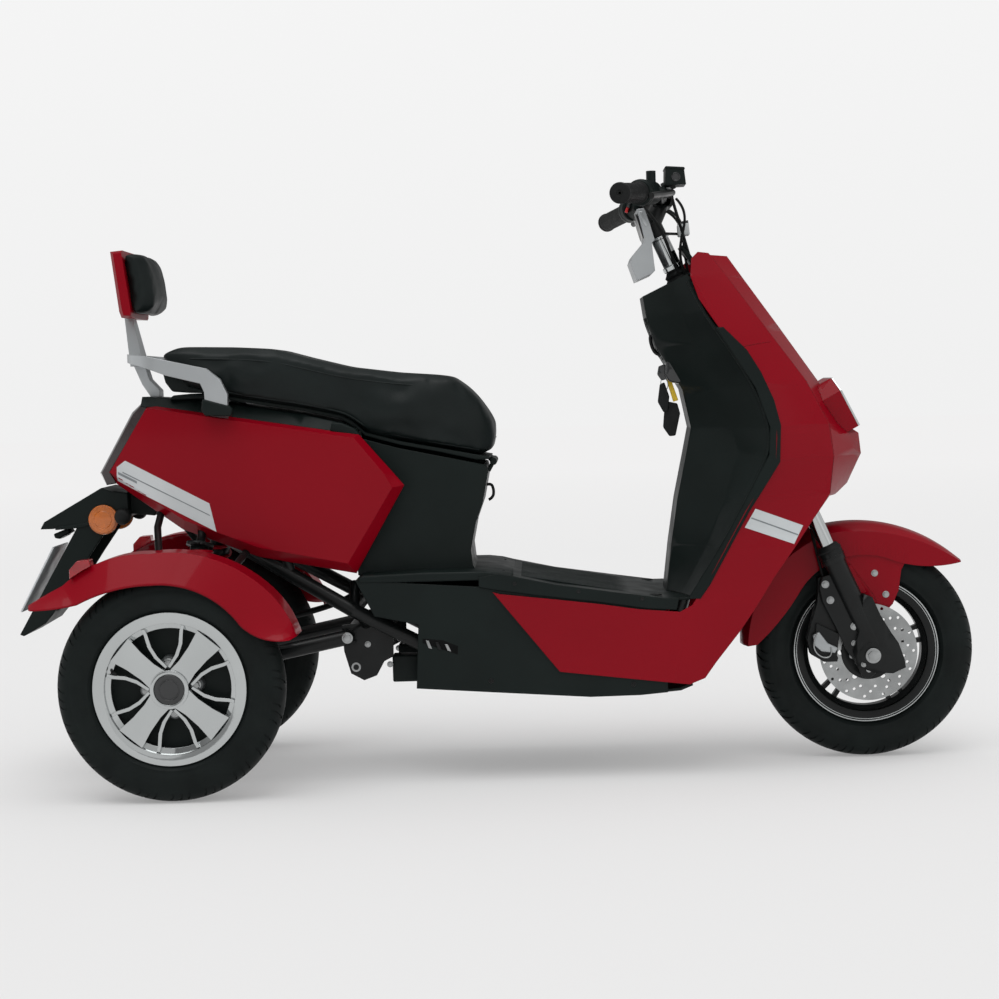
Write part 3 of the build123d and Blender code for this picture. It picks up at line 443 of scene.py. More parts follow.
skins = {}
for nodeName, width in skinTable.items():
    skins[nodeName] = skinOf(nodeName, width)
print("nodes in smooth skins:", len(skins))

# tyres: a turned outline with the tread's grooves pressed in

tyreValues = {
    "pitches": 40, "offsets": (0.0, 0.16, 0.5, 0.62), "twist": 0.055, "grooveDepth": 2.6,
    "outline": [(26.0, 128.0), (26.0, 143.5), (31.5, 147.5), (35.0, 151.0), (34.6, 153.0), (37.6, 159.0),
        (39.6, 168.0), (39.9, 175.0), (38.9, 182.0), (38.0, 184.0), (38.0, 186.5), (36.2, 193.0),
        (33.0, 199.8), (28.5, 204.6), (23.5, 207.6), (18.0, 209.8), (12.0, 211.4), (6.0, 212.2),
        (2.0, 212.4)],
}


def treadedTyre(nodeName, x, y):
    values = tyreValues
    half = values["outline"]
    across = [(side, reach) for side, reach in half] + [(-side, reach) for side, reach in reversed(half)]
    across += [(-20.0, 128.0), (-22.0, 150.0), (-30.0, 172.0), (0.0, 203.0), (30.0, 172.0), (22.0, 150.0),
        (20.0, 128.0)]
    points = [toPlace((x + reach, y + side, axleHeight)) for side, reach in across]
    piece = cornersMoved(nodeName + "Treaded", points, fill="NOTHING")
    steps = values["pitches"] * 4
    centre = toPlace((x, y, axleHeight))
    beginEdit(piece)
    bpy.ops.mesh.spin(steps=steps, angle=2.0 * math.pi, center=centre, axis=(0.0, 1.0, 0.0))
    selectAll()
    bpy.ops.mesh.remove_doubles(threshold=0.00002)
    selectAll()
    bpy.ops.mesh.normals_make_consistent(inside=False)
    endEdit()
    pitch = 2.0 * math.pi / values["pitches"]
    stepOf = {}
    for vertex in piece.data.vertices:
        along, up = vertex.co.x - centre.x, vertex.co.z - centre.z
        reach = math.hypot(along, up)
        turn = math.atan2(up, along) % (2.0 * math.pi)
        index = round(turn / (2.0 * math.pi) * steps) % steps
        stepOf[vertex.index] = index
        side = abs(vertex.co.y - centre.y) * 1000.0
        lean = values["twist"] * (side / 30.0) ** 1.5 if reach > 0.19 else values["twist"]
        turn = pitch * (index // 4 + values["offsets"][index % 4]) + lean
        vertex.co.x = centre.x + reach * math.cos(turn)
        vertex.co.z = centre.z + reach * math.sin(turn)
    grooves = set()
    for face in piece.data.polygons:
        middle = face.center
        reach = math.hypot(middle.x - centre.x, middle.z - centre.z)
        side = (middle.y - centre.y) * 1000.0
        rows = sorted({stepOf[index] for index in face.vertices})
        row = rows[0] if rows[-1] - rows[0] == 1 else rows[-1]
        if reach < 0.19 or abs(side) > 37.5:
            continue
        long = row % 4 == 0 and 8.0 < abs(side) < 35.0
        short = row % 4 == 2 and 24.0 < abs(side) < 37.0
        if (long and (row // 4 + (side > 0)) % 2 == 0) or short:
            grooves.add(face.index)
    beginEdit(piece, False)
    endEdit()
    for face in piece.data.polygons:
        face.select = face.index in grooves
    bpy.ops.object.mode_set(mode="EDIT")
    bpy.ops.mesh.extrude_region_move(TRANSFORM_OT_translate={"value": (0.0, 0.0, 0.0)})
    endEdit()
    for vertex in piece.data.vertices:
        if vertex.select:
            away = vertex.co - centre
            away.y = 0.0
            vertex.co -= away.normalized() * values["grooveDepth"] / 1000.0
    finishPiece(piece, bodyOfNode[nodeName], "tyre", 38.0)
    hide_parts(nodeName)
    return piece


wheelPlaces = {"front": (frontAxle, 0.0), "rear_left": (0.0, 280.5), "rear_right": (0.0, -280.5)}
for word, (x, y) in wheelPlaces.items():
    treadedTyre(word + "_tyre", x, y)
print("tyres treaded")

# rear wheels: polished lip, dark depth behind the spokes, nuts, cap and valve

rearWheelValues = {
    "lip": [(26.5, 142.3), (29.0, 142.3), (30.9, 140.5), (30.9, 137.5), (29.0, 135.6), (29.2, 131.5),
        (27.4, 129.6), (27.6, 126.0), (25.0, 123.0), (24.0, 126.0), (25.2, 131.0), (26.0, 137.0)],
    "nutRing": 46.0, "nutRadius": 7.2,
}


def dressRearWheel(word, y, out):
    values = rearWheelValues
    body = "rear_wheel_" + word
    turned(body, "chrome", body + "Lip", [(along - 20.0, radius) for along, radius in values["lip"]],
        (0, y + out * 20, axleHeight), (0, y + out * 60, axleHeight), 96)
    turned(body, "black_plastic", body + "Depth", [(0.0, 36.0), (0.0, 120.5), (3.0, 121.0), (3.0, 36.0)],
        (0, y - out * 13, axleHeight), (0, y + out * 60, axleHeight), 64)
    turned(body, "glossBlack", body + "Cap", [(0.0, 0.0), (0.0, 28.4), (2.4, 28.4), (3.4, 27.0),
        (3.2, 20.0), (2.6, 19.4), (2.6, 17.5), (3.4, 17.0), (3.7, 10.0), (3.8, 0.0)],
        (0, y + out * 30.4, axleHeight), (0, y + out * 60, axleHeight), 48)
    turned(body, "chrome", body + "CapRing", [(0.0, 28.6), (3.6, 28.9), (4.3, 30.2), (4.4, 33.4),
        (3.6, 35.4), (0.0, 35.9)], (0, y + out * 30.2, axleHeight), (0, y + out * 60, axleHeight), 48)
    for turn in range(4):
        angle = math.radians(5.0 + 90.0 * turn)
        x = values["nutRing"] * math.cos(angle)
        z = axleHeight + values["nutRing"] * math.sin(angle)
        bolted(body, "steel", body + "Nut" + str(turn), (x, y + out * 5, z), (x, y + out * 30, z),
            values["nutRadius"], 9.0, 3.0)
        turned(body, "axle_grey", body + "NutSeat" + str(turn), [(0.0, 0.0), (0.0, 15.0), (14.0, 13.5),
            (16.0, 12.0), (16.0, 0.0)], (x, y - out * 10.5, z), (x, y + out * 30, z), 24)
    turned(body, "rubber", body + "Valve", [(0.0, 0.0), (0.0, 4.0), (12.0, 3.6), (13.0, 2.8), (24.0, 2.8),
        (25.0, 2.2), (25.0, 0.0)], (-112, y + out * 4, axleHeight + 34),
        (-98, y + out * 28, axleHeight + 30), 16)


dressRearWheel("right", -280.5, -1)
dressRearWheel("left", 280.5, 1)
print("rear wheels dressed")

# front wheel: two polished rings, disc bolts, hub boss, disc carrier and valve

def dressFrontWheel():
    for out, hand in bothSides:
        for index, (radius, thick) in enumerate(((140.6, 1.7), (136.4, 1.2))):
            y = out * 31.6
            turned("front_wheel", "chrome", "frontRing" + str(index) + hand, [(0.0, radius - thick),
                (0.9, radius - thick * 0.6), (1.2, radius), (0.9, radius + thick * 0.6),
                (0.0, radius + thick), (-1.2, radius)], (frontAxle, y - out * 1.1, axleHeight),
                (frontAxle, y + out * 60, axleHeight), 96, angle=60.0)
        turned("front_wheel", "frame_black", "frontBoss" + hand, [(0.0, 7.4), (0.0, 40.0), (2.5, 42.0),
            (5.0, 40.5), (6.0, 33.0), (4.5, 31.5), (4.6, 24.0), (6.4, 23.0), (6.6, 7.4)],
            (frontAxle, out * 34.0, axleHeight), (frontAxle, out * 90, axleHeight), 48)
    turned("front_wheel", "frame_black", "discCarrier", [(0.0, 23.0), (0.0, 52.0), (0.8, 53.5), (2.0, 52.5),
        (2.6, 48.0), (2.0, 44.0), (2.2, 23.0)], (frontAxle, -60.3, axleHeight),
        (frontAxle, -90, axleHeight), 64)
    for turn in range(6):
        angle = math.radians(12.0 + 60.0 * turn)
        x, z = frontAxle + 34.0 * math.cos(angle), axleHeight + 34.0 * math.sin(angle)
        bolted("front_wheel", "steel", "discBolt" + str(turn), (x, -62.4, z), (x, -90.0, z), 3.6, 2.0, 0.6)
    turned("front_wheel", "rubber", "frontValve", [(0.0, 0.0), (0.0, 4.0), (12.0, 3.6), (13.0, 2.8),
        (24.0, 2.8), (25.0, 2.2), (25.0, 0.0)], (frontAxle - 112, -4, axleHeight + 34),
        (frontAxle - 98, -26, axleHeight + 30), 16)


dressFrontWheel()
print("front wheel dressed")

# fork: polished upper tubes, dust wipers, pinch bolts and axle nuts

def dressFork():
    for side, hand in bothSides:
        y = side * 87.0
        turned("steering", "chrome", "forkTube" + hand, [(0.0, 15.05), (0.0, 15.35), (178.0, 15.35),
            (178.0, 15.05)], onSteering(-83.5, legAhead, y), onSteering(94, legAhead, y), 40, angle=40.0)
        turned("steering", "rubber", "forkWiper" + hand, [(0.0, 15.5), (-0.1, 24.3), (3.0, 24.5),
            (5.0, 22.5), (9.0, 21.0), (12.0, 18.0), (12.5, 15.5)], onSteering(-84.2, legAhead, y),
            onSteering(94, legAhead, y), 40, angle=40.0)
        turned("steering", "frame_black", "forkRing" + hand, [(0.0, 23.9), (0.4, 24.8), (2.0, 25.0),
            (3.2, 24.8), (3.6, 23.9)], onSteering(-98, legAhead, y), onSteering(94, legAhead, y),
            40, angle=40.0)
        bolted("steering", "steel", "axleNut" + hand, (frontAxle, side * 117.8, axleHeight),
            (frontAxle, side * 140, axleHeight), 11.0, 5.2, 0.8)
        bolted("steering", "steel", "legBolt" + hand, (frontAxle - 17.0, side * 105.9, axleHeight - 18.0),
            (frontAxle - 17.0, side * 130, axleHeight - 18.0), 4.0, 3.4, 1.2)
        plated("steering", "red_paint", "fenderGusset" + hand,
            [(frontAxle + ahead, axleHeight + up) for ahead, up in ((-62, 196), (-40, 150), (-14, 104),
            (4, 66), (30, 70), (50, 91), (62, 118), (68, 158), (60, 196))], side * 49, side * 52.2, 1.0)
        for index, (ahead, up) in enumerate(((16.0, 153.0), (37.0, 111.0))):
            bolted("steering", "steel", "fenderBolt" + hand + str(index),
                (frontAxle + ahead, side * 52.2, axleHeight + up),
                (frontAxle + ahead, side * 90, axleHeight + up), 5.0, 2.4, 0.8)


dressFork()

caliperValues = {"bolts": ((-84.0, 132.0), (-96.0, 20.0), (-62.0, 96.0))}


def dressCaliper():
    values = caliperValues
    for index, (ahead, up) in enumerate(values["bolts"]):
        bolted("steering", "steel", "caliperBolt" + str(index), (frontAxle + ahead, -78.4, axleHeight + up),
            (frontAxle + ahead, -110, axleHeight + up), 6.0, 5.0, 1.4)
    plated("steering", "cast_silver", "caliperArm", [(frontAxle - 110, axleHeight + 20),
        (frontAxle - 96, axleHeight + 8), (frontAxle - 70, axleHeight + 4),
        (frontAxle - 64, axleHeight + 14), (frontAxle - 84, axleHeight + 24),
        (frontAxle - 100, axleHeight + 46), (frontAxle - 112, axleHeight + 40)], -88.4, -96.0, 1.6, 3)
    cabled("steering", "steel", "caliperSpring", [(frontAxle - 104, -97, axleHeight + 44),
        (frontAxle - 118, -99, axleHeight + 20), (frontAxle - 100, -100, axleHeight - 10),
        (frontAxle - 74, -99, axleHeight - 4), (frontAxle - 78, -97, axleHeight + 16)], 1.4)
    plated("steering", "frame_black", "caliperBracket",
        [(frontAxle + ahead, axleHeight + up) for ahead, up in ((-92, 152), (-72, 158), (-50, 128),
        (-12, 40), (6, -6), (8, -38), (-4, -48), (-18, -44), (-30, -16), (-48, 8), (-66, 50), (-92, 104),
        (-98, 132))], -88.5, -93.5, 2.0, 3)
    for index, (ahead, up) in enumerate(((-86, 138), (-77, 107), (-32, 55), (-33, 22), (-5, -30))):
        radius = 5.6 if index < 3 else 4.2
        bolted("steering", "steel", "bracketBolt" + str(index), (frontAxle + ahead, -93.3, axleHeight + up),
            (frontAxle + ahead, -130, axleHeight + up), radius, 3.4, 1.2)
    cabled("steering", "rubber", "brakeHose", [(frontAxle - 84, -74, axleHeight + 136),
        (frontAxle - 96, -66, axleHeight + 190), (frontAxle - 110, -52, axleHeight + 260), (1196, -36, 560),
        (1140, -26, 640), (1086, -20, 760), (1029, -14, 900), (1002, -12, 978), (982, -46, 1048),
        (958, -108, 1106), (955, -140, 1122)], 3.0)


dressCaliper()
print("fork and brake dressed")

# seat and backrest pads: filled by pressure, then welts laid on the surface

padTable = {
    "seat_cushion": {"inset": 0.004, "voxel": 0.006, "pressure": 4.0, "cap": 0.009, "smooth": 8, "ease": 14,
        "fill": 0.85},
    "backrest_pad": {"inset": 0.003, "voxel": 0.004, "pressure": 4.0, "cap": 0.007, "smooth": 5, "ease": 6,
        "fill": 0.85},
}

clothValues = {"quality": 5, "mass": 0.3, "stretch": 12.0, "bending": 0.6, "gravity": 0.0, "frames": 20}


def filledPad(nodeName, values):
    piece = nodeCopy(nodeName, "Filled")
    remesh = piece.modifiers.new("even", "REMESH")
    remesh.mode = "VOXEL"
    remesh.voxel_size = values["voxel"]
    applyLast(piece)
    rounder = piece.modifiers.new("round", "SMOOTH")
    rounder.factor = 0.5
    rounder.iterations = values["smooth"]
    applyLast(piece)
    for vertex, normal in zip(piece.data.vertices, [Vector(v.normal) for v in piece.data.vertices]):
        vertex.co -= normal * values["inset"]
    start = [Vector(vertex.co) for vertex in piece.data.vertices]
    cloth = piece.modifiers.new("fill", "CLOTH")
    cloth.settings.quality = clothValues["quality"]
    cloth.settings.mass = clothValues["mass"]
    cloth.settings.tension_stiffness = clothValues["stretch"]
    cloth.settings.compression_stiffness = clothValues["stretch"]
    cloth.settings.bending_stiffness = clothValues["bending"]
    cloth.settings.use_pressure = True
    cloth.settings.uniform_pressure_force = values["pressure"]
    cloth.settings.effector_weights.gravity = clothValues["gravity"]
    cloth.point_cache.frame_start = 1
    cloth.point_cache.frame_end = clothValues["frames"]
    pick(piece)
    for moment in range(1, clothValues["frames"] + 1):
        bpy.context.scene.frame_set(moment)
    bpy.ops.object.modifier_apply(modifier=cloth.name)
    bpy.context.scene.frame_set(1)
    for vertex, place in zip(piece.data.vertices, start):
        move = vertex.co - place
        if move.length > values["cap"]:
            vertex.co = place + move.normalized() * values["cap"]
    rounder = piece.modifiers.new("round", "SMOOTH")
    rounder.factor = 0.5
    rounder.iterations = values["ease"]
    applyLast(piece)
    finer = piece.modifiers.new("finer", "SUBSURF")
    finer.levels = 1
    finer.render_levels = 1
    applyLast(piece)
    low, high = (Vector(corner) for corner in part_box(nodeName))
    for vertex in piece.data.vertices:
        for axis in range(3):
            vertex.co[axis] = min(max(vertex.co[axis], low[axis] - 0.004), high[axis] + 0.004)
    finishPiece(piece, bodyOfNode[nodeName], "leatherette", 60.0)
    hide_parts(nodeName)
    return piece


pads = {name: filledPad(name, values) for name, values in padTable.items()}
print("pads filled")

# the seat's side border: (x, z) where the top panel meets the side, and the lower hem
seatBorders = {
    "upper": [(-32, 818), (30, 822), (109, 819), (188, 812), (246, 797), (325, 776), (423, 762), (502, 755),
        (545, 742), (580, 712), (602, 676), (608, 650)],
    "lower": [(-8, 795), (22, 776), (76, 761), (124, 750), (180, 740), (239, 730), (315, 712), (340, 699),
        (363, 680), (428, 661), (504, 645), (578, 630)],
}


def borderWelt(name, piece, border, side, radius, lift):
    # points found on the pad's side by looking in from outside
    points = []
    for x, z in border:
        origin = toPlace((x, side * 260, z))
        hit, place, normal, face = piece.ray_cast(origin, Vector((0.0, -side, 0.0)))
        if hit:
            place = place + normal * lift / 1000.0
            points.append(((place.x - rearAxleX) * 1000.0, place.y * 1000.0, place.z * 1000.0))
    welt = heldCable(name, points, radius, order=3)
    return finishPiece(welt, "seat", "leatherette", 60.0)


for side, hand in bothSides:
    borderWelt("seatWelt" + hand, pads["seat_cushion"], seatBorders["upper"], side, 1.5, -0.4)
    borderWelt("seatHem" + hand, pads["seat_cushion"], seatBorders["lower"], side, 2.4, -0.6)
print("welts laid")

# labels: bare pale strips that follow the panel under them

labelTable = {
    "tailLabel": ("tail_panels", "chassis", [(-123, 618), (-106, 630), (58, 544), (70, 489), (-124, 591)],
        "labelGrey", 0.35),
    "tailLabelLine": ("tail_panels", "chassis", [(-112, 609), (58, 522), (59, 519.6), (-112, 606.4)],
        "labelLine", 0.6),
    "tailLabelBar": ("tail_panels", "chassis", [(-121, 604), (-84, 585), (-84, 590), (-121, 609)],
        "labelLine", 0.6),
    "frontLabel": ("front_aprons", "chassis", [(1098, 507), (1190, 471), (1171, 437), (1077, 472)],
        "labelGrey", 0.35),
    "frontLabelLine": ("front_aprons", "chassis", [(1090, 491), (1180, 455), (1179, 452.6), (1089, 488.6)],
        "labelLine", 0.6),
}


def labelOn(name, values, side):
    under, body, outline, slotName, lift = values
    piece = cornersMoved(name + ("Right" if side < 0 else "Left"),
        [toPlace((x, side * 250, z)) for x, z in outline])
    beginEdit(piece)
    bpy.ops.mesh.quads_convert_to_tris()
    for time in range(4):
        bpy.ops.mesh.subdivide(number_cuts=1)
    endEdit()
    target = skins[under]
    for vertex in piece.data.vertices:
        hit, place, normal, face = target.ray_cast(Vector(vertex.co), Vector((0.0, -side, 0.0)))
        if hit:
            vertex.co = place + Vector((0.0, side * lift / 1000.0, 0.0))
    thicken(piece, 0.0003)
    return finishPiece(piece, body, slotName, 40.0)


for name, values in labelTable.items():
    for side in (-1, 1):
        labelOn(name, values, side)
print("labels laid")

# headlamp: a mirrored bowl with two round projectors behind the clear cover

lampValues = {"centre": (1288.0, 700.0), "out": (0.883, 0.469), "up": (-0.469, 0.883), "floor": -38}


def onLamp(across, above, ahead):
    # the lamp's own face: across is y, above goes up the slanted face, ahead is out of it
    x, z = lampValues["centre"]
    out, up = lampValues["out"], lampValues["up"]
    return (x + out[0] * ahead + up[0] * above, across, z + out[1] * ahead + up[1] * above)


def dressHeadlamp():
    rim = [(-54, 45), (-77, 22.5), (-61, -43), (61, -43), (77, 22.5), (54, 45)]
    bowl = cornersMoved("headlampBowl", [toPlace(onLamp(y, up, -9)) for y, up in rim])
    beginEdit(bowl)
    middle = toPlace(onLamp(0, 0, lampValues["floor"]))
    inward = middle - toPlace(onLamp(0, 0, -9))
    bpy.ops.mesh.extrude_region_move(TRANSFORM_OT_translate={"value": tuple(inward)})
    bpy.ops.transform.resize(value=(0.72, 0.72, 0.72), center_override=middle)
    endEdit()
    front = [face for face in bowl.data.polygons if len(face.vertices) == 6]
    keep = min(front, key=lambda face: (face.center - middle).length)
    beginEdit(bowl, False)
    endEdit()
    for face in bowl.data.polygons:
        face.select = len(face.vertices) == 6 and face.index != keep.index
    bpy.ops.object.mode_set(mode="EDIT")
    bpy.ops.mesh.delete(type="FACE")
    selectAll()
    bpy.ops.mesh.subdivide(number_cuts=1)
    endEdit()
    thicken(bowl, 0.0015)
    finishPiece(bowl, "chassis", "lampMirror", 20.0)
    for index, across in enumerate((-30.0, 30.0)):
        turned("chassis", "chrome", "headlampProjector" + str(index), [(0.0, 0.0), (0.0, 21.0),
            (14.0, 22.0), (18.0, 24.0), (20.0, 24.0), (20.5, 22.5), (17.0, 19.5), (14.0, 19.0),
            (14.0, 0.0)], onLamp(across, 2, -36), onLamp(across, 2, 0), 40)
        turned("chassis", "palePlastic", "headlampBulb" + str(index), [(0.0, 0.0), (0.0, 18.5), (3.0, 17.5),
            (6.5, 14.0), (9.0, 8.0), (10.0, 0.0)], onLamp(across, 2, -21.8), onLamp(across, 2, 0),
            40, angle=60.0)


dressHeadlamp()
print("headlamp dressed")

# tail: lamp ribs, reflector rims and bosses, plate lamp, screws

def dressTail():
    for index in range(5):
        z0 = 622 + index * 21
        x0 = -150.5 + (z0 - 622) * 0.575
        plated("chassis", "lens_red", "lampRib" + str(index), [(x0 - 4.6, z0), (x0 - 1.0, z0 - 3.2),
            (x0 + 4.0, z0 + 3.2), (x0 + 0.6, z0 + 6.4)], 66, -66, 0.8)
    for side, hand in bothSides:
        turned("chassis", "lens_amber", "reflectorLens" + hand, [(0.0, 0.0), (0.0, 26.0), (1.6, 25.6),
            (2.0, 18.0), (1.5, 17.2), (2.1, 16.4), (2.6, 8.0), (2.8, 0.0)], (-160, side * 79, 515),
            (-160, side * 100, 515), 40, angle=25.0)
        turned("chassis", "rubber", "reflectorBoss" + hand, [(0.0, 0.0), (0.0, 15.0), (16.0, 16.0),
            (22.0, 13.5), (25.0, 8.0), (25.5, 0.0)], (-120, side * 69, 521), (-122, side * 110, 519),
            32, angle=40.0)
        plated("chassis", "black_plastic", "bracketEdge" + hand, [(-256, 497), (-205, 500), (-140, 514),
            (-142, 521), (-206, 508), (-256, 503)], side * 70, side * 72.4, 0.8)
        for index, (x, z) in enumerate(((-225, 455), (-262, 395), (-300, 330))):
            bolted("chassis", "steel", "bracketBolt" + hand + str(index), (x, side * 62, z),
                (x, side * 90, z), 4.2, 3.4, 1.0)
    plated("chassis", "black_plastic", "plateLamp", [(-272, 486), (-244, 497), (-238, 488), (-262, 476),
        (-270, 478)], 22, -22, 2.0, 3)
    plated("chassis", "palePlastic", "plateLampGlass", [(-268, 480), (-261, 475.4), (-246, 482.5),
        (-248, 487)], 17, -17, 0.8)
    plated("chassis", "labelGrey", "blankPlate", [(-262.5, 462), (-265.5, 463.5), (-334, 338),
        (-331, 336.5)], 62, -62, 0.6)
    for side, hand in bothSides:
        plated("chassis", "black_plastic", "railFoot" + hand, [(57, 745), (108, 730), (114, 724),
            (111, 710), (62, 712), (54, 722)], side * 149, side * 167, 3.0, 3)
        plated("chassis", "black_plastic", "stripNose" + hand, [(296, 676), (300, 693), (318, 691),
            (344, 679), (356, 664), (352, 659), (318, 668)], side * 118.2, side * 151, 3.0, 3)


dressTail()
print("tail dressed")

# bar: grip ribs and end caps, throttle housing, levers, reservoir cap, switches, cables

barValues = {"turn": (896.0, 200.0, 1104.0), "tip": (853.0, 337.0, 1092.0), "ribs": 26}


def alongBar(share, side):
    start, end = barValues["turn"], barValues["tip"]
    x, y, z = (a + (b - a) * share for a, b in zip(start, end))
    return (x, side * y, z)


def dressGrip(side):
    hand = "Right" if side < 0 else "Left"
    profile = [(0.0, 11.2), (0.0, 19.5), (2.0, 21.0), (5.0, 21.0), (7.0, 18.2)]
    for index in range(barValues["ribs"]):
        at = 10.0 + index * 4.3
        profile += [(at, 17.3), (at + 0.7, 18.2), (at + 2.6, 18.2), (at + 3.3, 17.3)]
    profile += [(126.0, 17.6), (129.0, 19.4), (132.6, 19.4), (134.4, 17.6), (134.6, 6.0), (133.0, 5.0),
        (133.0, 0.0)]
    turned("steering", "rubber", "gripRibs" + hand, profile, alongBar(0.11, side), alongBar(1.03, side), 40)
    turned("steering", "black_plastic", "gripHousing" + hand, [(0.0, 11.2), (0.0, 22.0), (2.0, 24.5),
        (14.0, 25.0), (15.0, 23.5), (16.0, 23.5), (17.0, 25.0), (27.0, 24.5), (30.0, 21.5), (30.0, 11.2)],
        alongBar(-0.14, side), alongBar(0.2, side), 40)


def dressBar():
    for side, hand in bothSides:
        dressGrip(side)
        plated("steering", "black_plastic", "leverPerch" + hand, [(909, 1098), (940, 1096), (956, 1099),
            (958, 1110), (940, 1116), (910, 1118)], side * 150, side * 172, 3.0, 3)
        bolted("steering", "steel", "leverPivot" + hand, (950, side * 166, 1111), (950, side * 166, 1130),
            4.5, 3.2, 1.2)
        turned("steering", "frame_black", "mirrorNut" + hand, [(0.0, 3.5), (0.0, 7.6), (1.0, 8.2),
            (5.0, 8.2), (6.0, 7.6), (6.0, 3.5)], (918, side * 172, 1139.8), (918, side * 172, 1160), 6)
        turned("steering", "rubber", "cableBoot" + hand, [(0.0, 0.0), (0.0, 6.5), (3.0, 7.0), (8.0, 6.8),
            (10.0, 5.0), (24.0, 4.2), (26.0, 0.0)], (940, side * 152, 1104), (972, side * 128, 1098),
            20, angle=40.0)
    for index, (x, y, z) in enumerate(((893, -168, 1116), (888, -184, 1110), (899, -152, 1118))):
        turned("steering", "starterRed" if index == 0 else "palePlastic", "switchKnob" + str(index),
            [(0.0, 0.0), (0.0, 6.5), (3.5, 6.0), (5.0, 4.0), (5.0, 0.0)], (x + 2, y, z),
            (x - 24, y, z + 22), 20, angle=40.0)
    plated("steering", "glossBlack", "switchRocker", [(886, 1108), (894, 1122), (899, 1120), (892, 1105)],
        150, 172, 1.2)
    plated("steering", "starterRed", "hornButton", [(882, 1098), (886, 1108), (891, 1106), (888, 1096)],
        154, 168, 1.2)
    plated("steering", "black_plastic", "reservoirLid", [(944, 1149), (981, 1146), (981.5, 1149.2),
        (979.5, 1151), (946, 1153.6), (944, 1152)], -119, -181, 0.9)
    turned("steering", "glossBlack", "reservoirWindow", [(0.0, 0.0), (0.0, 9.0), (2.0, 8.6), (2.6, 6.5),
        (1.6, 6.0), (1.6, 0.0)], (964, -179.4, 1133), (964, -200, 1133), 28)
    for index, (x, y) in enumerate(((950, -126), (975, -126), (950, -174), (975, -174))):
        turned("steering", "steel", "lidScrew" + str(index), [(0.0, 0.0), (0.0, 2.8), (0.8, 2.6),
            (1.0, 1.0), (0.5, 0.6), (0.5, 0.0)], (x, y, 1152.6 - (x - 950) * 0.08), (x, y, 1170), 14)


dressBar()

# clamp, chrome riser, boots, the pale relay and the cables down the column

cableTable = {
    "throttleCable": [(968, -122, 1097), (990, -92, 1078), (985, -52, 1040), (975, -30, 1000),
        (985, -20, 962), (1002, -14, 930)],
    "leftBrakeCable": [(968, 122, 1097), (992, 92, 1080), (992, 56, 1044), (980, 32, 1000), (990, 22, 962),
        (1006, 16, 930)],
    "switchCableRight": [(898, -140, 1100), (905, -104, 1086), (935, -66, 1060), (955, -40, 1016),
        (972, -22, 968), (990, -16, 935)],
    "switchCableLeft": [(898, 140, 1100), (905, 104, 1086), (935, 66, 1060), (955, 40, 1016),
        (972, 22, 968), (990, 16, 935)],
    "meterCable": [(938, 4, 1092), (972, 2, 1082), (992, 0, 1040), (988, -6, 1000), (998, -4, 950)],
}


def dressColumn():
    for name, points in cableTable.items():
        cabled("steering", "rubber", name, points, 3.0 if "switch" in name else 2.6)
    turned("steering", "chrome", "columnRiser", [(0.0, 17.1), (0.0, 19.0), (1.0, 20.5), (9.0, 20.5),
        (10.0, 19.0), (10.5, 17.3), (64.0, 17.3), (65.0, 19.4), (70.0, 19.4), (71.0, 17.1)],
        onSteering(536, 0, 0), onSteering(640, 0, 0), 40)
    turned("steering", "rubber", "columnBoot", [(0.0, 17.2), (0.0, 30.0), (6.0, 31.0), (12.0, 26.0),
        (16.0, 29.0), (22.0, 24.5), (26.0, 27.0), (32.0, 22.0), (37.0, 24.0), (42.0, 19.5), (46.0, 17.2)],
        onSteering(489, 0, 0), onSteering(560, 0, 0), 40, angle=60.0)
    for side, hand in bothSides:
        plated("steering", "frame_black", "barClamp" + hand, [(928, 1092), (966, 1090), (970, 1104),
            (966, 1120), (950, 1124), (932, 1120), (926, 1106)], side * 30, side * 12, 3.0, 3)
        for index, x in enumerate((938, 960)):
            bolted("steering", "steel", "clampBolt" + hand + str(index), (x, side * 21, 1120.5),
                (x, side * 21, 1140), 4.0, 3.0, 0.8)
    plated("steering", "palePlastic", "relayCase", [(976, 1031), (999, 1034), (997, 1058), (975, 1055)],
        -38, -12, 3.0, 3)
    plated("steering", "glossBlack", "relayCap", [(976, 1052), (997, 1055), (996, 1063), (976, 1060)],
        -36, -14, 1.2)
    plated("steering", "frame_black", "relayStay", [(948, 1042), (980, 1040), (980, 1035), (948, 1037)],
        -24, -15, 1.0)
    plated("steering", "black_plastic", "wiringFlap", [(978, 1012), (986, 1016), (1008, 985), (1001, 978)],
        -30, 26, 1.6, 3)
    plated("steering", "cast_silver", "meterPane", [(897.5, 1080), (907, 1081.5), (917, 1053), (911, 1050)],
        61.2, -61.2, 1.0)
    plated("steering", "glossBlack", "meterGlass", [(895, 1078), (893.2, 1076), (906.5, 1030), (909, 1030)],
        48, -48, 0.8)


dressColumn()
print("bar and column dressed")

# legshield: glove pockets, key lock with its keys, bag hook, rim bead

def shieldAt(y, z, lift=0.0):
    # the shield's rear face, found by looking forward from the seat
    hit, place, normal, face = skins["legshield"].ray_cast(toPlace((700, y, z)), Vector((1.0, 0.0, 0.0)))
    return ((place.x - rearAxleX) * 1000.0 - lift, y, z)


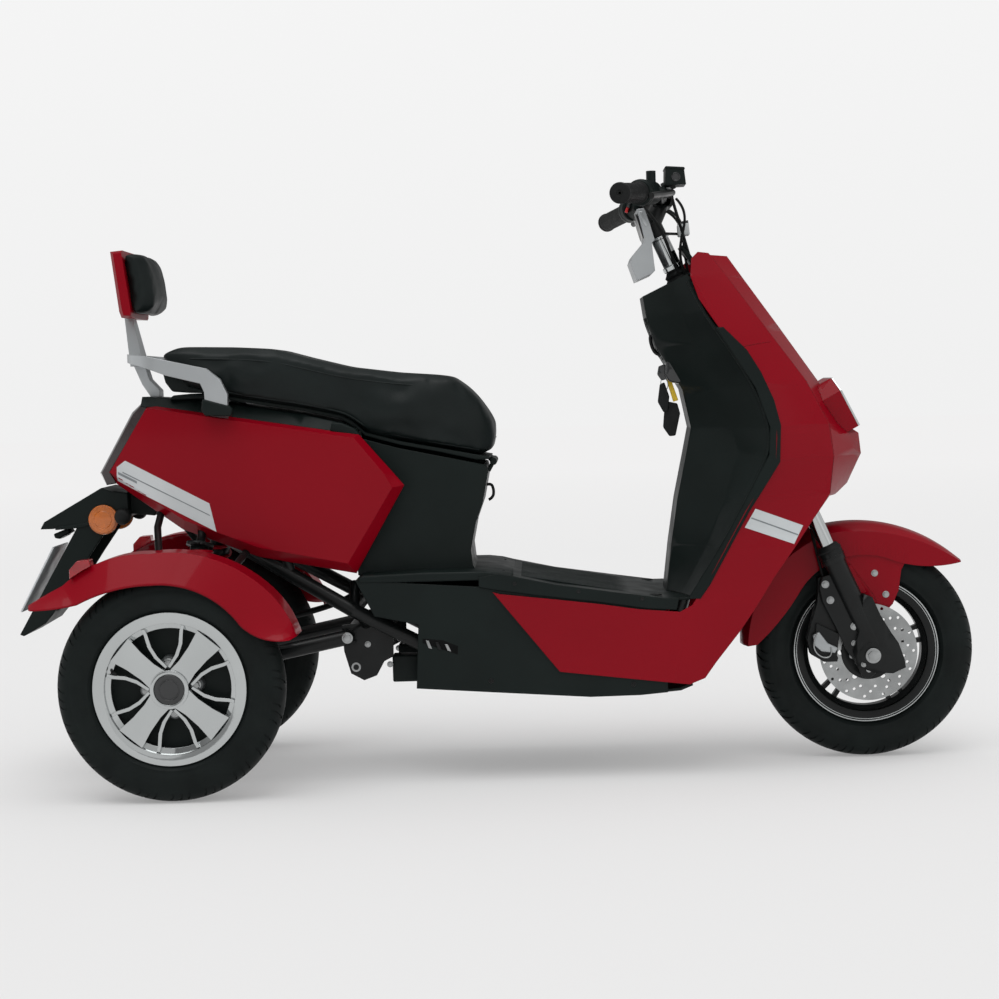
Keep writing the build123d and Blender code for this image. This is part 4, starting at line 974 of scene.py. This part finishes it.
def dressShield():
    for side, hand in bothSides:
        bead = []
        for z in (372, 434, 521, 608, 660, 735, 822, 880, 940):
            widths = ((340, 184), (608, 184), (660, 184), (735, 183), (822, 178), (880, 168), (965, 138))
            low = max(row for row in widths if row[0] <= z)
            high = min(row for row in widths if row[0] > z)
            width = low[1] + (high[1] - low[1]) * (z - low[0]) / (high[0] - low[0])
            bead.append(shieldAt(side * (width - 4.0), z, 0.5))
        cabled("chassis", "black_plastic", "shieldBead" + hand, bead, 3.2, order=3)
    rimPlaces = [(971, 340), (1034, 434), (1084, 521), (1131, 608), (1134, 660), (1108, 735), (1054, 822),
        (1036, 850)]
    edgePlaces = [(1046, 850), (1089, 806), (1114, 764), (1137, 711), (1149, 663), (1146, 594), (1125, 561),
        (1086, 502), (1048, 435), (1009, 366), (990, 340)]
    for side, hand in bothSides:
        places = [(x - 5, side * min(187.0, 187.0 - (z - 735) * 0.055), z) for x, z in rimPlaces]
        places += [(x, side * min(190.0, 190.0 - (z - 745) * 0.09), z) for x, z in edgePlaces]
        flange = cornersMoved("shieldFlange" + hand, [toPlace(place) for place in places])
        beginEdit(flange)
        bpy.ops.mesh.quads_convert_to_tris()
        endEdit()
        thicken(flange, 0.0018)
        finishPiece(flange, "chassis", "black_plastic", 30.0)
    mouth = [(-44, 876), (-50, 862), (-46, 812), (-36, 800), (-12, 800), (-6, 812), (-6, 862), (-12, 876)]
    for side in (1, -1):
        hand = "Right" if side > 0 else "Left"
        outline = [toPlace(shieldAt(side * y, z, 1.6)) for y, z in mouth]
        pocket = cornersMoved("glovePocket" + hand, outline)
        beginEdit(pocket)
        bpy.ops.mesh.inset(thickness=0.0035)
        bpy.ops.transform.translate(value=(0.012, 0.0, 0.0))
        bpy.ops.mesh.inset(thickness=0.002)
        endEdit()
        thicken(pocket, 0.0012, -1.0)
        soften(pocket, 0.6, 2, 40.0)
        finishPiece(pocket, "chassis", "black_plastic", 30.0)
    turned("chassis", "glossBlack", "keyLock", [(0.0, 0.0), (0.0, 17.0), (6.0, 17.0), (8.0, 15.5),
        (9.0, 12.0), (8.0, 11.0), (8.0, 0.0)], (960, -40, 774), (936, -40, 766), 36)
    plated("chassis", "glossBlack", "lockHousing", [(942, 762), (944, 786), (956, 804), (972, 806),
        (988, 796), (988, 752), (968, 746), (950, 750)], -62, -24, 6.0, 4)
    turned("chassis", "black_plastic", "lockCollar", [(0.0, 0.0), (0.0, 22.0), (10.0, 21.0), (13.0, 17.0),
        (13.0, 0.0)], (972, -40, 778), (948, -40, 770), 36)
    turned("chassis", "chrome", "lockRing", [(0.0, 9.5), (0.0, 12.0), (1.4, 11.6), (1.4, 9.8)],
        (951.6, -40, 771.2), (936, -40, 766), 32)
    cabled("chassis", "frame_black", "bagHook", [(948, -24, 806), (934, -24, 802), (922, -24, 812),
        (916, -24, 838), (919, -24, 842)], 3.6, 3)
    plated("chassis", "black_plastic", "hookFoot", [(936, 820), (952, 818), (952, 790), (938, 793)],
        -38, -10, 3.0, 3)


dressShield()

keyTable = {
    "keyBlade": ([(938, 773), (948, 776), (951, 766), (941, 762)], -38.6, -41.4, "steel", 0.5),
    "keyBow": ([(931, 781), (942, 785), (952, 774), (950, 756), (936, 753), (928, 765)], -35, -45,
        "glossBlack", 2.0),
    "keyTag": ([(945, 756), (955, 754), (968, 714), (958, 711)], -38.5, -41.5, "keyTag", 1.0),
    "keyFobOne": ([(932, 746), (941, 750), (950, 722), (947, 694), (938, 691), (927, 712)], -47, -54,
        "rubber", 2.6),
    "keyFobTwo": ([(948, 712), (966, 708), (971, 688), (961, 645), (949, 644), (937, 662), (940, 694)],
        -34, -42, "rubber", 2.6),
}
for name, (outline, near, far, slotName, bevel) in keyTable.items():
    finishPiece(sidePlate(name, outline, near, far, bevel, 3), "chassis", slotName, 30.0)
cabled("chassis", "chrome", "keyRing", [(938, -40, 762), (946, -46, 756), (949, -48, 742), (943, -46, 732),
    (936, -40, 736), (934, -36, 752), (938, -40, 762)], 0.9, 3)

# a shallow fold across each red apron
foldPlaces = ((1080, 812.5), (1096, 815), (1112, 817.5), (1128, 819.5), (1140, 821))
for side, hand in bothSides:
    fold = []
    for x, z in foldPlaces:
        hit, place, normal, face = skins["front_aprons"].ray_cast(toPlace((x, side * 300, z)),
            Vector((0.0, -side, 0.0)))
        if hit:
            fold.append((x, place.y * 1000.0, z))
    cabled("chassis", "red_paint", "apronFold" + hand, fold, 0.8, 3)

cabled("chassis", "frame_black", "seatBoxHook", [(580, 0, 556), (596, 0, 562), (602, 0, 548), (600, 0, 532),
    (591, 0, 528)], 3.0, 3)
print("shield, lock and keys dressed")

# floor: raised ribs, oval plugs and screws

def floorAt(x, y):
    hit, place, normal, face = skins["footboard"].ray_cast(toPlace((x, y, 480)), Vector((0.0, 0.0, -1.0)))
    return (x, y, place.z * 1000.0)


def dressFloor():
    for index, y in enumerate(range(-140, 141, 20)):
        start, end = floorAt(648, y), floorAt(888, y)
        rib = sidePlate("floorRib" + str(index), [(start[0], start[2] - 0.5), (end[0], end[2] - 0.5),
            (end[0] - 5, end[2] + 2.6), (start[0] + 5, start[2] + 2.6)], y - 4.5, y + 4.5, 1.2)
        middle = floorAt(768, y)
        rise = middle[2] - (start[2] + end[2]) / 2.0
        for vertex in rib.data.vertices:
            vertex.co.z += rise / 1000.0
        finishPiece(rib, "chassis", "black_plastic", 30.0)
    for index, (x, y) in enumerate(((606, -118), (606, 118), (905, -150), (905, 150))):
        place = floorAt(x, y)
        plug = spun("floorPlug" + str(index), [(0.0, 0.0), (0.0, 15.0), (1.4, 14.6), (1.8, 12.0),
            (1.0, 11.0), (1.0, 0.0)], (x, y, place[2] - 0.3), (x, y, place[2] + 20), 36)
        for vertex in plug.data.vertices:
            vertex.co.y = y / 1000.0 + (vertex.co.y - y / 1000.0) * 0.62
        finishPiece(plug, "chassis", "rubber", 40.0)
    for side, hand in bothSides:
        for index, (x, z) in enumerate(((640, 378), (760, 360), (880, 343))):
            turned("chassis", "frame_black", "lipScrew" + hand + str(index), [(0.0, 0.0), (0.0, 4.2),
                (1.2, 3.8), (1.6, 2.0), (0.9, 1.2), (0.9, 0.0)], (x, side * 188.6, z), (x, side * 200, z),
                16)


dressFloor()

# side panel: vent slots, the small black case and the stand's hardware

def dressSides():
    for side, hand in bothSides:
        # painted shade: a flat near-black sheet stands for the dark inside of each vent slot, under the
        # bars
        plated("chassis", "deepShade", "ventRecess" + hand, [(462, 278), (462, 270), (528, 246), (529, 262),
            (500, 274)], side * 184.6, side * 185.6, 0.4)
        for index in range(3):
            plated("chassis", "steel" if index != 1 else "frame_black", "ventBar" + hand + str(index),
                [(468 + index * 18, 275 - index * 4), (474 + index * 18, 274 - index * 4),
                (480 + index * 18, 258 - index * 3), (473 + index * 18, 260 - index * 3)],
                side * 184.4, side * 187.4, 0.8)
        plated("chassis", "black_plastic", "smallCase" + hand, [(398, 186), (450, 186), (450, 237),
            (398, 237)], side * 112, side * 62, 3.0, 3)
        for index, (x, z, radius) in enumerate(((316, 279, 9.0), (394, 222, 4.5), (352, 262, 4.5))):
            bolted("chassis", "steel", "standBolt" + hand + str(index), (x, side * 118.6, z),
                (x, side * 150, z), radius, radius * 0.6, 1.6)
        turned("chassis", "steel", "standEye" + hand, [(0.0, 5.5), (0.0, 9.0), (0.8, 9.2), (0.8, 5.5)],
            (328, side * 118.7, 218), (328, side * 140, 218), 24)
        for index, (x, z) in enumerate(((590, 182), (860, 168))):
            turned("chassis", "frame_black", "bellyScrew" + hand + str(index), [(0.0, 0.0), (0.0, 5.0),
                (1.4, 4.6), (2.0, 2.4), (1.0, 1.6), (1.0, 0.0)], (x, side * 184.8, z + 12),
                (x, side * 200, z + 12), 16)


dressSides()

# the moulding under the seat box that meets the floor
plated("chassis", "black_plastic", "floorShelf", [(341, 387), (344, 396), (352, 401), (470, 404),
    (585, 403), (612, 399.5), (640, 392), (612, 389), (572, 386), (400, 386)], -187, 187, 4.0, 3)

# the seat base's tail, which carries the cushion's rear end and lifts with it
plated("seat", "black_plastic", "seatTail", [(-31, 804), (-25, 778), (-12, 760), (24, 756.5), (64, 755),
    (112, 752.5), (112, 764), (60, 778), (20, 792), (0, 806)], -97, 97, 5.0, 3)
plated("chassis", "black_plastic", "tailRest", [(-20, 744), (-12, 753), (24, 755.4), (64, 753.8),
    (112, 751.4), (112, 744)], -92, 92, 3.0, 3)

# rear running gear: coil springs, brake cables and motor leads, arm bolts

def coilSpring(name, low, high, radius, wire, turns, body, slotName):
    origin, target = toPlace(low), toPlace(high)
    axis = (target - origin).normalized()
    side = axis.orthogonal().normalized()
    steps = turns * 10
    curve = bpy.data.curves.new(name, "CURVE")
    curve.dimensions = "3D"
    curve.bevel_depth = wire / 1000.0
    curve.bevel_resolution = 2
    curve.resolution_u = 3
    spline = curve.splines.new("NURBS")
    spline.points.add(steps)
    for index, control in enumerate(spline.points):
        turn = Matrix.Rotation(2.0 * math.pi * index / 10.0, 3, axis)
        control.co = (*(origin + (target - origin) * index / steps + turn @ side * radius / 1000.0), 1.0)
    spline.order_u = 4
    spline.use_endpoint_u = True
    spring = bpy.data.objects.new(name, curve)
    bpy.context.scene.collection.objects.link(spring)
    pick(spring)
    bpy.ops.object.convert(target="MESH")
    return finishPiece(bpy.context.object, body, slotName, 60.0)


def dressRear():
    for side, hand in bothSides:
        coilSpring("shockSpring" + hand, (2, side * 166, 266), (33, side * 121, 456), 26.5, 4.2, 8,
            "chassis", "red_paint")
        cabled("chassis", "rubber", "drumCable" + hand, [(48, side * 190, 240), (90, side * 176, 262),
            (170, side * 150, 262), (250, side * 140, 268), (330, side * 134, 268)], 3.2)
        plated("chassis", "steel", "drumLever" + hand, [(18, 206), (46, 232), (54, 246), (48, 250),
            (38, 238), (10, 216)], side * 206, side * 211, 1.2)
        for index, (x, z) in enumerate(((316, 279), (24, 220))):
            bolted("chassis", "steel", "armBolt" + hand + str(index), (x, side * 150.6, z),
                (x, side * 170, z), 8.0, 6.0, 2.0)
        flange = []
        for index in range(6):
            angle = math.radians(60.0 * index + 15.0)
            flange.append(hexBolt("motorBolt" + hand + str(index), (70 * math.cos(angle),
                side * 96.4, axleHeight + 70 * math.sin(angle)), (70 * math.cos(angle),
                side * 120, axleHeight + 70 * math.sin(angle)), 5.0, 4.0, 1.2))
        finishPiece(joined(flange), "chassis", "steel", 30.0)
    for index, y in enumerate((-16, 0, 16)):
        cabled("chassis", "rubber", "motorLead" + str(index), [(70, y, 262), (100, y, 290),
            (150, y * 1.5, 300), (230, 40 + y, 310), (330, 60 + y * 0.7, 340), (352, 60 + y * 0.7, 390)],
            5.0)
    fins = []
    for index in range(7):
        y = -66.0 + index * 22.0
        fins.append(spun("motorFin" + str(index), [(0.0, 81.0), (0.0, 86.5), (1.0, 87.5), (2.6, 87.5),
            (3.6, 86.5), (3.6, 81.0)], (0, y - 1.8, axleHeight), (0, y + 20, axleHeight), 64))
    finishPiece(joined(fins), "chassis", "axle_grey", 30.0)


dressRear()
print("running gear dressed")

# camera, floor and lights

cameraValues = {
    "place": (0.0924, -4.0055, 0.7574), "yaw": -1.1689, "pitch": 3.2816, "roll": -1.7322,
    "focalPixels": 2026.28, "framePixels": 999.0, "sensor": 36.0,
}


def addCamera():
    values = cameraValues
    yaw, pitch, roll = (math.radians(values[key]) for key in ("yaw", "pitch", "roll"))
    forward = Vector((math.sin(yaw), math.cos(yaw), 0.0))
    right = Vector((math.cos(yaw), -math.sin(yaw), 0.0))
    up = Vector((0.0, 0.0, 1.0))
    sight = math.cos(pitch) * forward - math.sin(pitch) * up
    upright = math.cos(pitch) * up + math.sin(pitch) * forward
    across = math.cos(roll) * right + math.sin(roll) * upright
    above = -math.sin(roll) * right + math.cos(roll) * upright
    turn = Matrix((across, above, -sight)).transposed().to_4x4()
    data = bpy.data.cameras.new("photoCamera")
    data.sensor_width = values["sensor"]
    data.lens = values["focalPixels"] / values["framePixels"] * values["sensor"]
    camera = bpy.data.objects.new("photoCamera", data)
    bpy.context.scene.collection.objects.link(camera)
    camera.matrix_world = Matrix.Translation(values["place"]) @ turn
    bpy.context.scene.camera = camera


studioValues = {
    "floorSize": 60.0, "floorTone": 0.74, "glowShare": 0.3, "glowTone": (0.875, 0.87, 0.87, 1.0),
    "far": (5.0, 13.0), "worldLow": 0.4, "worldHigh": 0.85, "lightSpan": (0.0, 0.9),
    "wallStops": ((0.0, 0.875), (1.0, 0.95), (0.24, 0.92), (0.36, 0.5), (0.6, 0.32), (0.82, 0.4),
        (0.88, 0.95)),
    "sideTone": 0.4, "sideSpan": (0.45, 0.85), "sun": 1.1, "fill": 0.4,
}


def seenDirectly(owner):
    # one where the camera, a reflection or clear plastic looks, else nothing
    rays = addNode(owner, "ShaderNodeLightPath")
    first = mathNode(owner, "MAXIMUM", (rays, "Is Camera Ray"), (rays, "Is Glossy Ray"))
    return mathNode(owner, "MAXIMUM", (first, 0), (rays, "Is Transmission Ray"))


def studioMaterial():
    # a matt floor that keeps the shadow and runs out into the wall's tone
    values = studioValues
    tone = values["floorTone"]
    material = newMaterial("paleStudio", (tone, tone, tone), 0.95, specular=0.05)
    place = addNode(material, "ShaderNodeTexCoord")
    distance = addNode(material, "ShaderNodeVectorMath", operation="LENGTH")
    link(material, place, "Object", distance, 0)
    fade = mapRange(material, (distance, "Value"), values["far"], (values["glowShare"], 1.0))
    shown = mathNode(material, "MULTIPLY", (fade, "Result"), (seenDirectly(material), 0))
    glow = addNode(material, "ShaderNodeEmission", Color=values["glowTone"], Strength=1.0)
    blend = addNode(material, "ShaderNodeMixShader")
    link(material, shown, 0, blend, "Fac")
    link(material, shaderOf(material), "BSDF", blend, 1)
    link(material, glow, "Emission", blend, 2)
    link(material, blend, "Shader", material.node_tree.nodes["Material Output"], "Surface")
    return material


def addStudio():
    deselectAll()
    bpy.ops.mesh.primitive_plane_add(size=studioValues["floorSize"], location=(0.0, 0.0, 0.0))
    floor = bpy.context.object
    floor.name = "studioFloor"
    floor.data.materials.append(studioMaterial())


def addSun(name, direction, strength, softness):
    data = bpy.data.lights.new(name, "SUN")
    data.energy = strength
    data.angle = math.radians(softness)
    lamp = bpy.data.objects.new(name, data)
    bpy.context.scene.collection.objects.link(lamp)
    lamp.matrix_world = Vector(direction).to_track_quat("-Z", "Y").to_matrix().to_4x4()


def addWorld():
    values = studioValues
    world = bpy.data.worlds.new("paleRoom")
    bpy.context.scene.world = world
    world.use_nodes = True
    background = world.node_tree.nodes["Background"]
    place = addNode(world, "ShaderNodeTexCoord")
    split = addNode(world, "ShaderNodeSeparateXYZ")
    link(world, place, "Generated", split, 0)
    light = mapRange(world, (split, "Z"), values["lightSpan"], (values["worldLow"], values["worldHigh"]))
    # pale wall near the horizon, a dimmer room above it with one broad light overhead
    wall = addNode(world, "ShaderNodeValToRGB")
    stops = wall.color_ramp.elements
    for index, (position, tone) in enumerate(values["wallStops"]):
        stop = stops[index] if index < 2 else stops.new(position)
        stop.position = position
        stop.color = (tone, tone, tone, 1.0)
    link(world, split, "Z", wall, "Fac")
    # open fault: reflections alone see the room's two long sides dimmed to sideTone
    away = mathNode(world, "ABSOLUTE", (split, "Y"))
    sides = mapRange(world, (away, 0), values["sideSpan"], (1.0, values["sideTone"]))
    rays = addNode(world, "ShaderNodeLightPath")
    dimmed = addNode(world, "ShaderNodeMix", data_type="FLOAT", A=1.0)
    link(world, rays, "Is Glossy Ray", dimmed, "Factor")
    link(world, sides, "Result", dimmed, "B")
    shown = mathNode(world, "MULTIPLY", (wall, "Color"), (dimmed, "Result"))
    choose = addNode(world, "ShaderNodeMix", data_type="FLOAT")
    link(world, seenDirectly(world), 0, choose, "Factor")
    link(world, light, "Result", choose, "A")
    link(world, shown, 0, choose, "B")
    background.inputs["Color"].default_value = (1.0, 1.0, 1.0, 1.0)
    link(world, choose, "Result", background, "Strength")


bpy.context.scene.view_settings.view_transform = "Standard"
addCamera()
addStudio()
addSun("softTop", (0.12, 0.3, -1.0), studioValues["sun"], 50.0)
addSun("softSide", (-0.35, 0.9, -0.45), studioValues["fill"], 70.0)
addWorld()
print("camera, floor and lights placed")
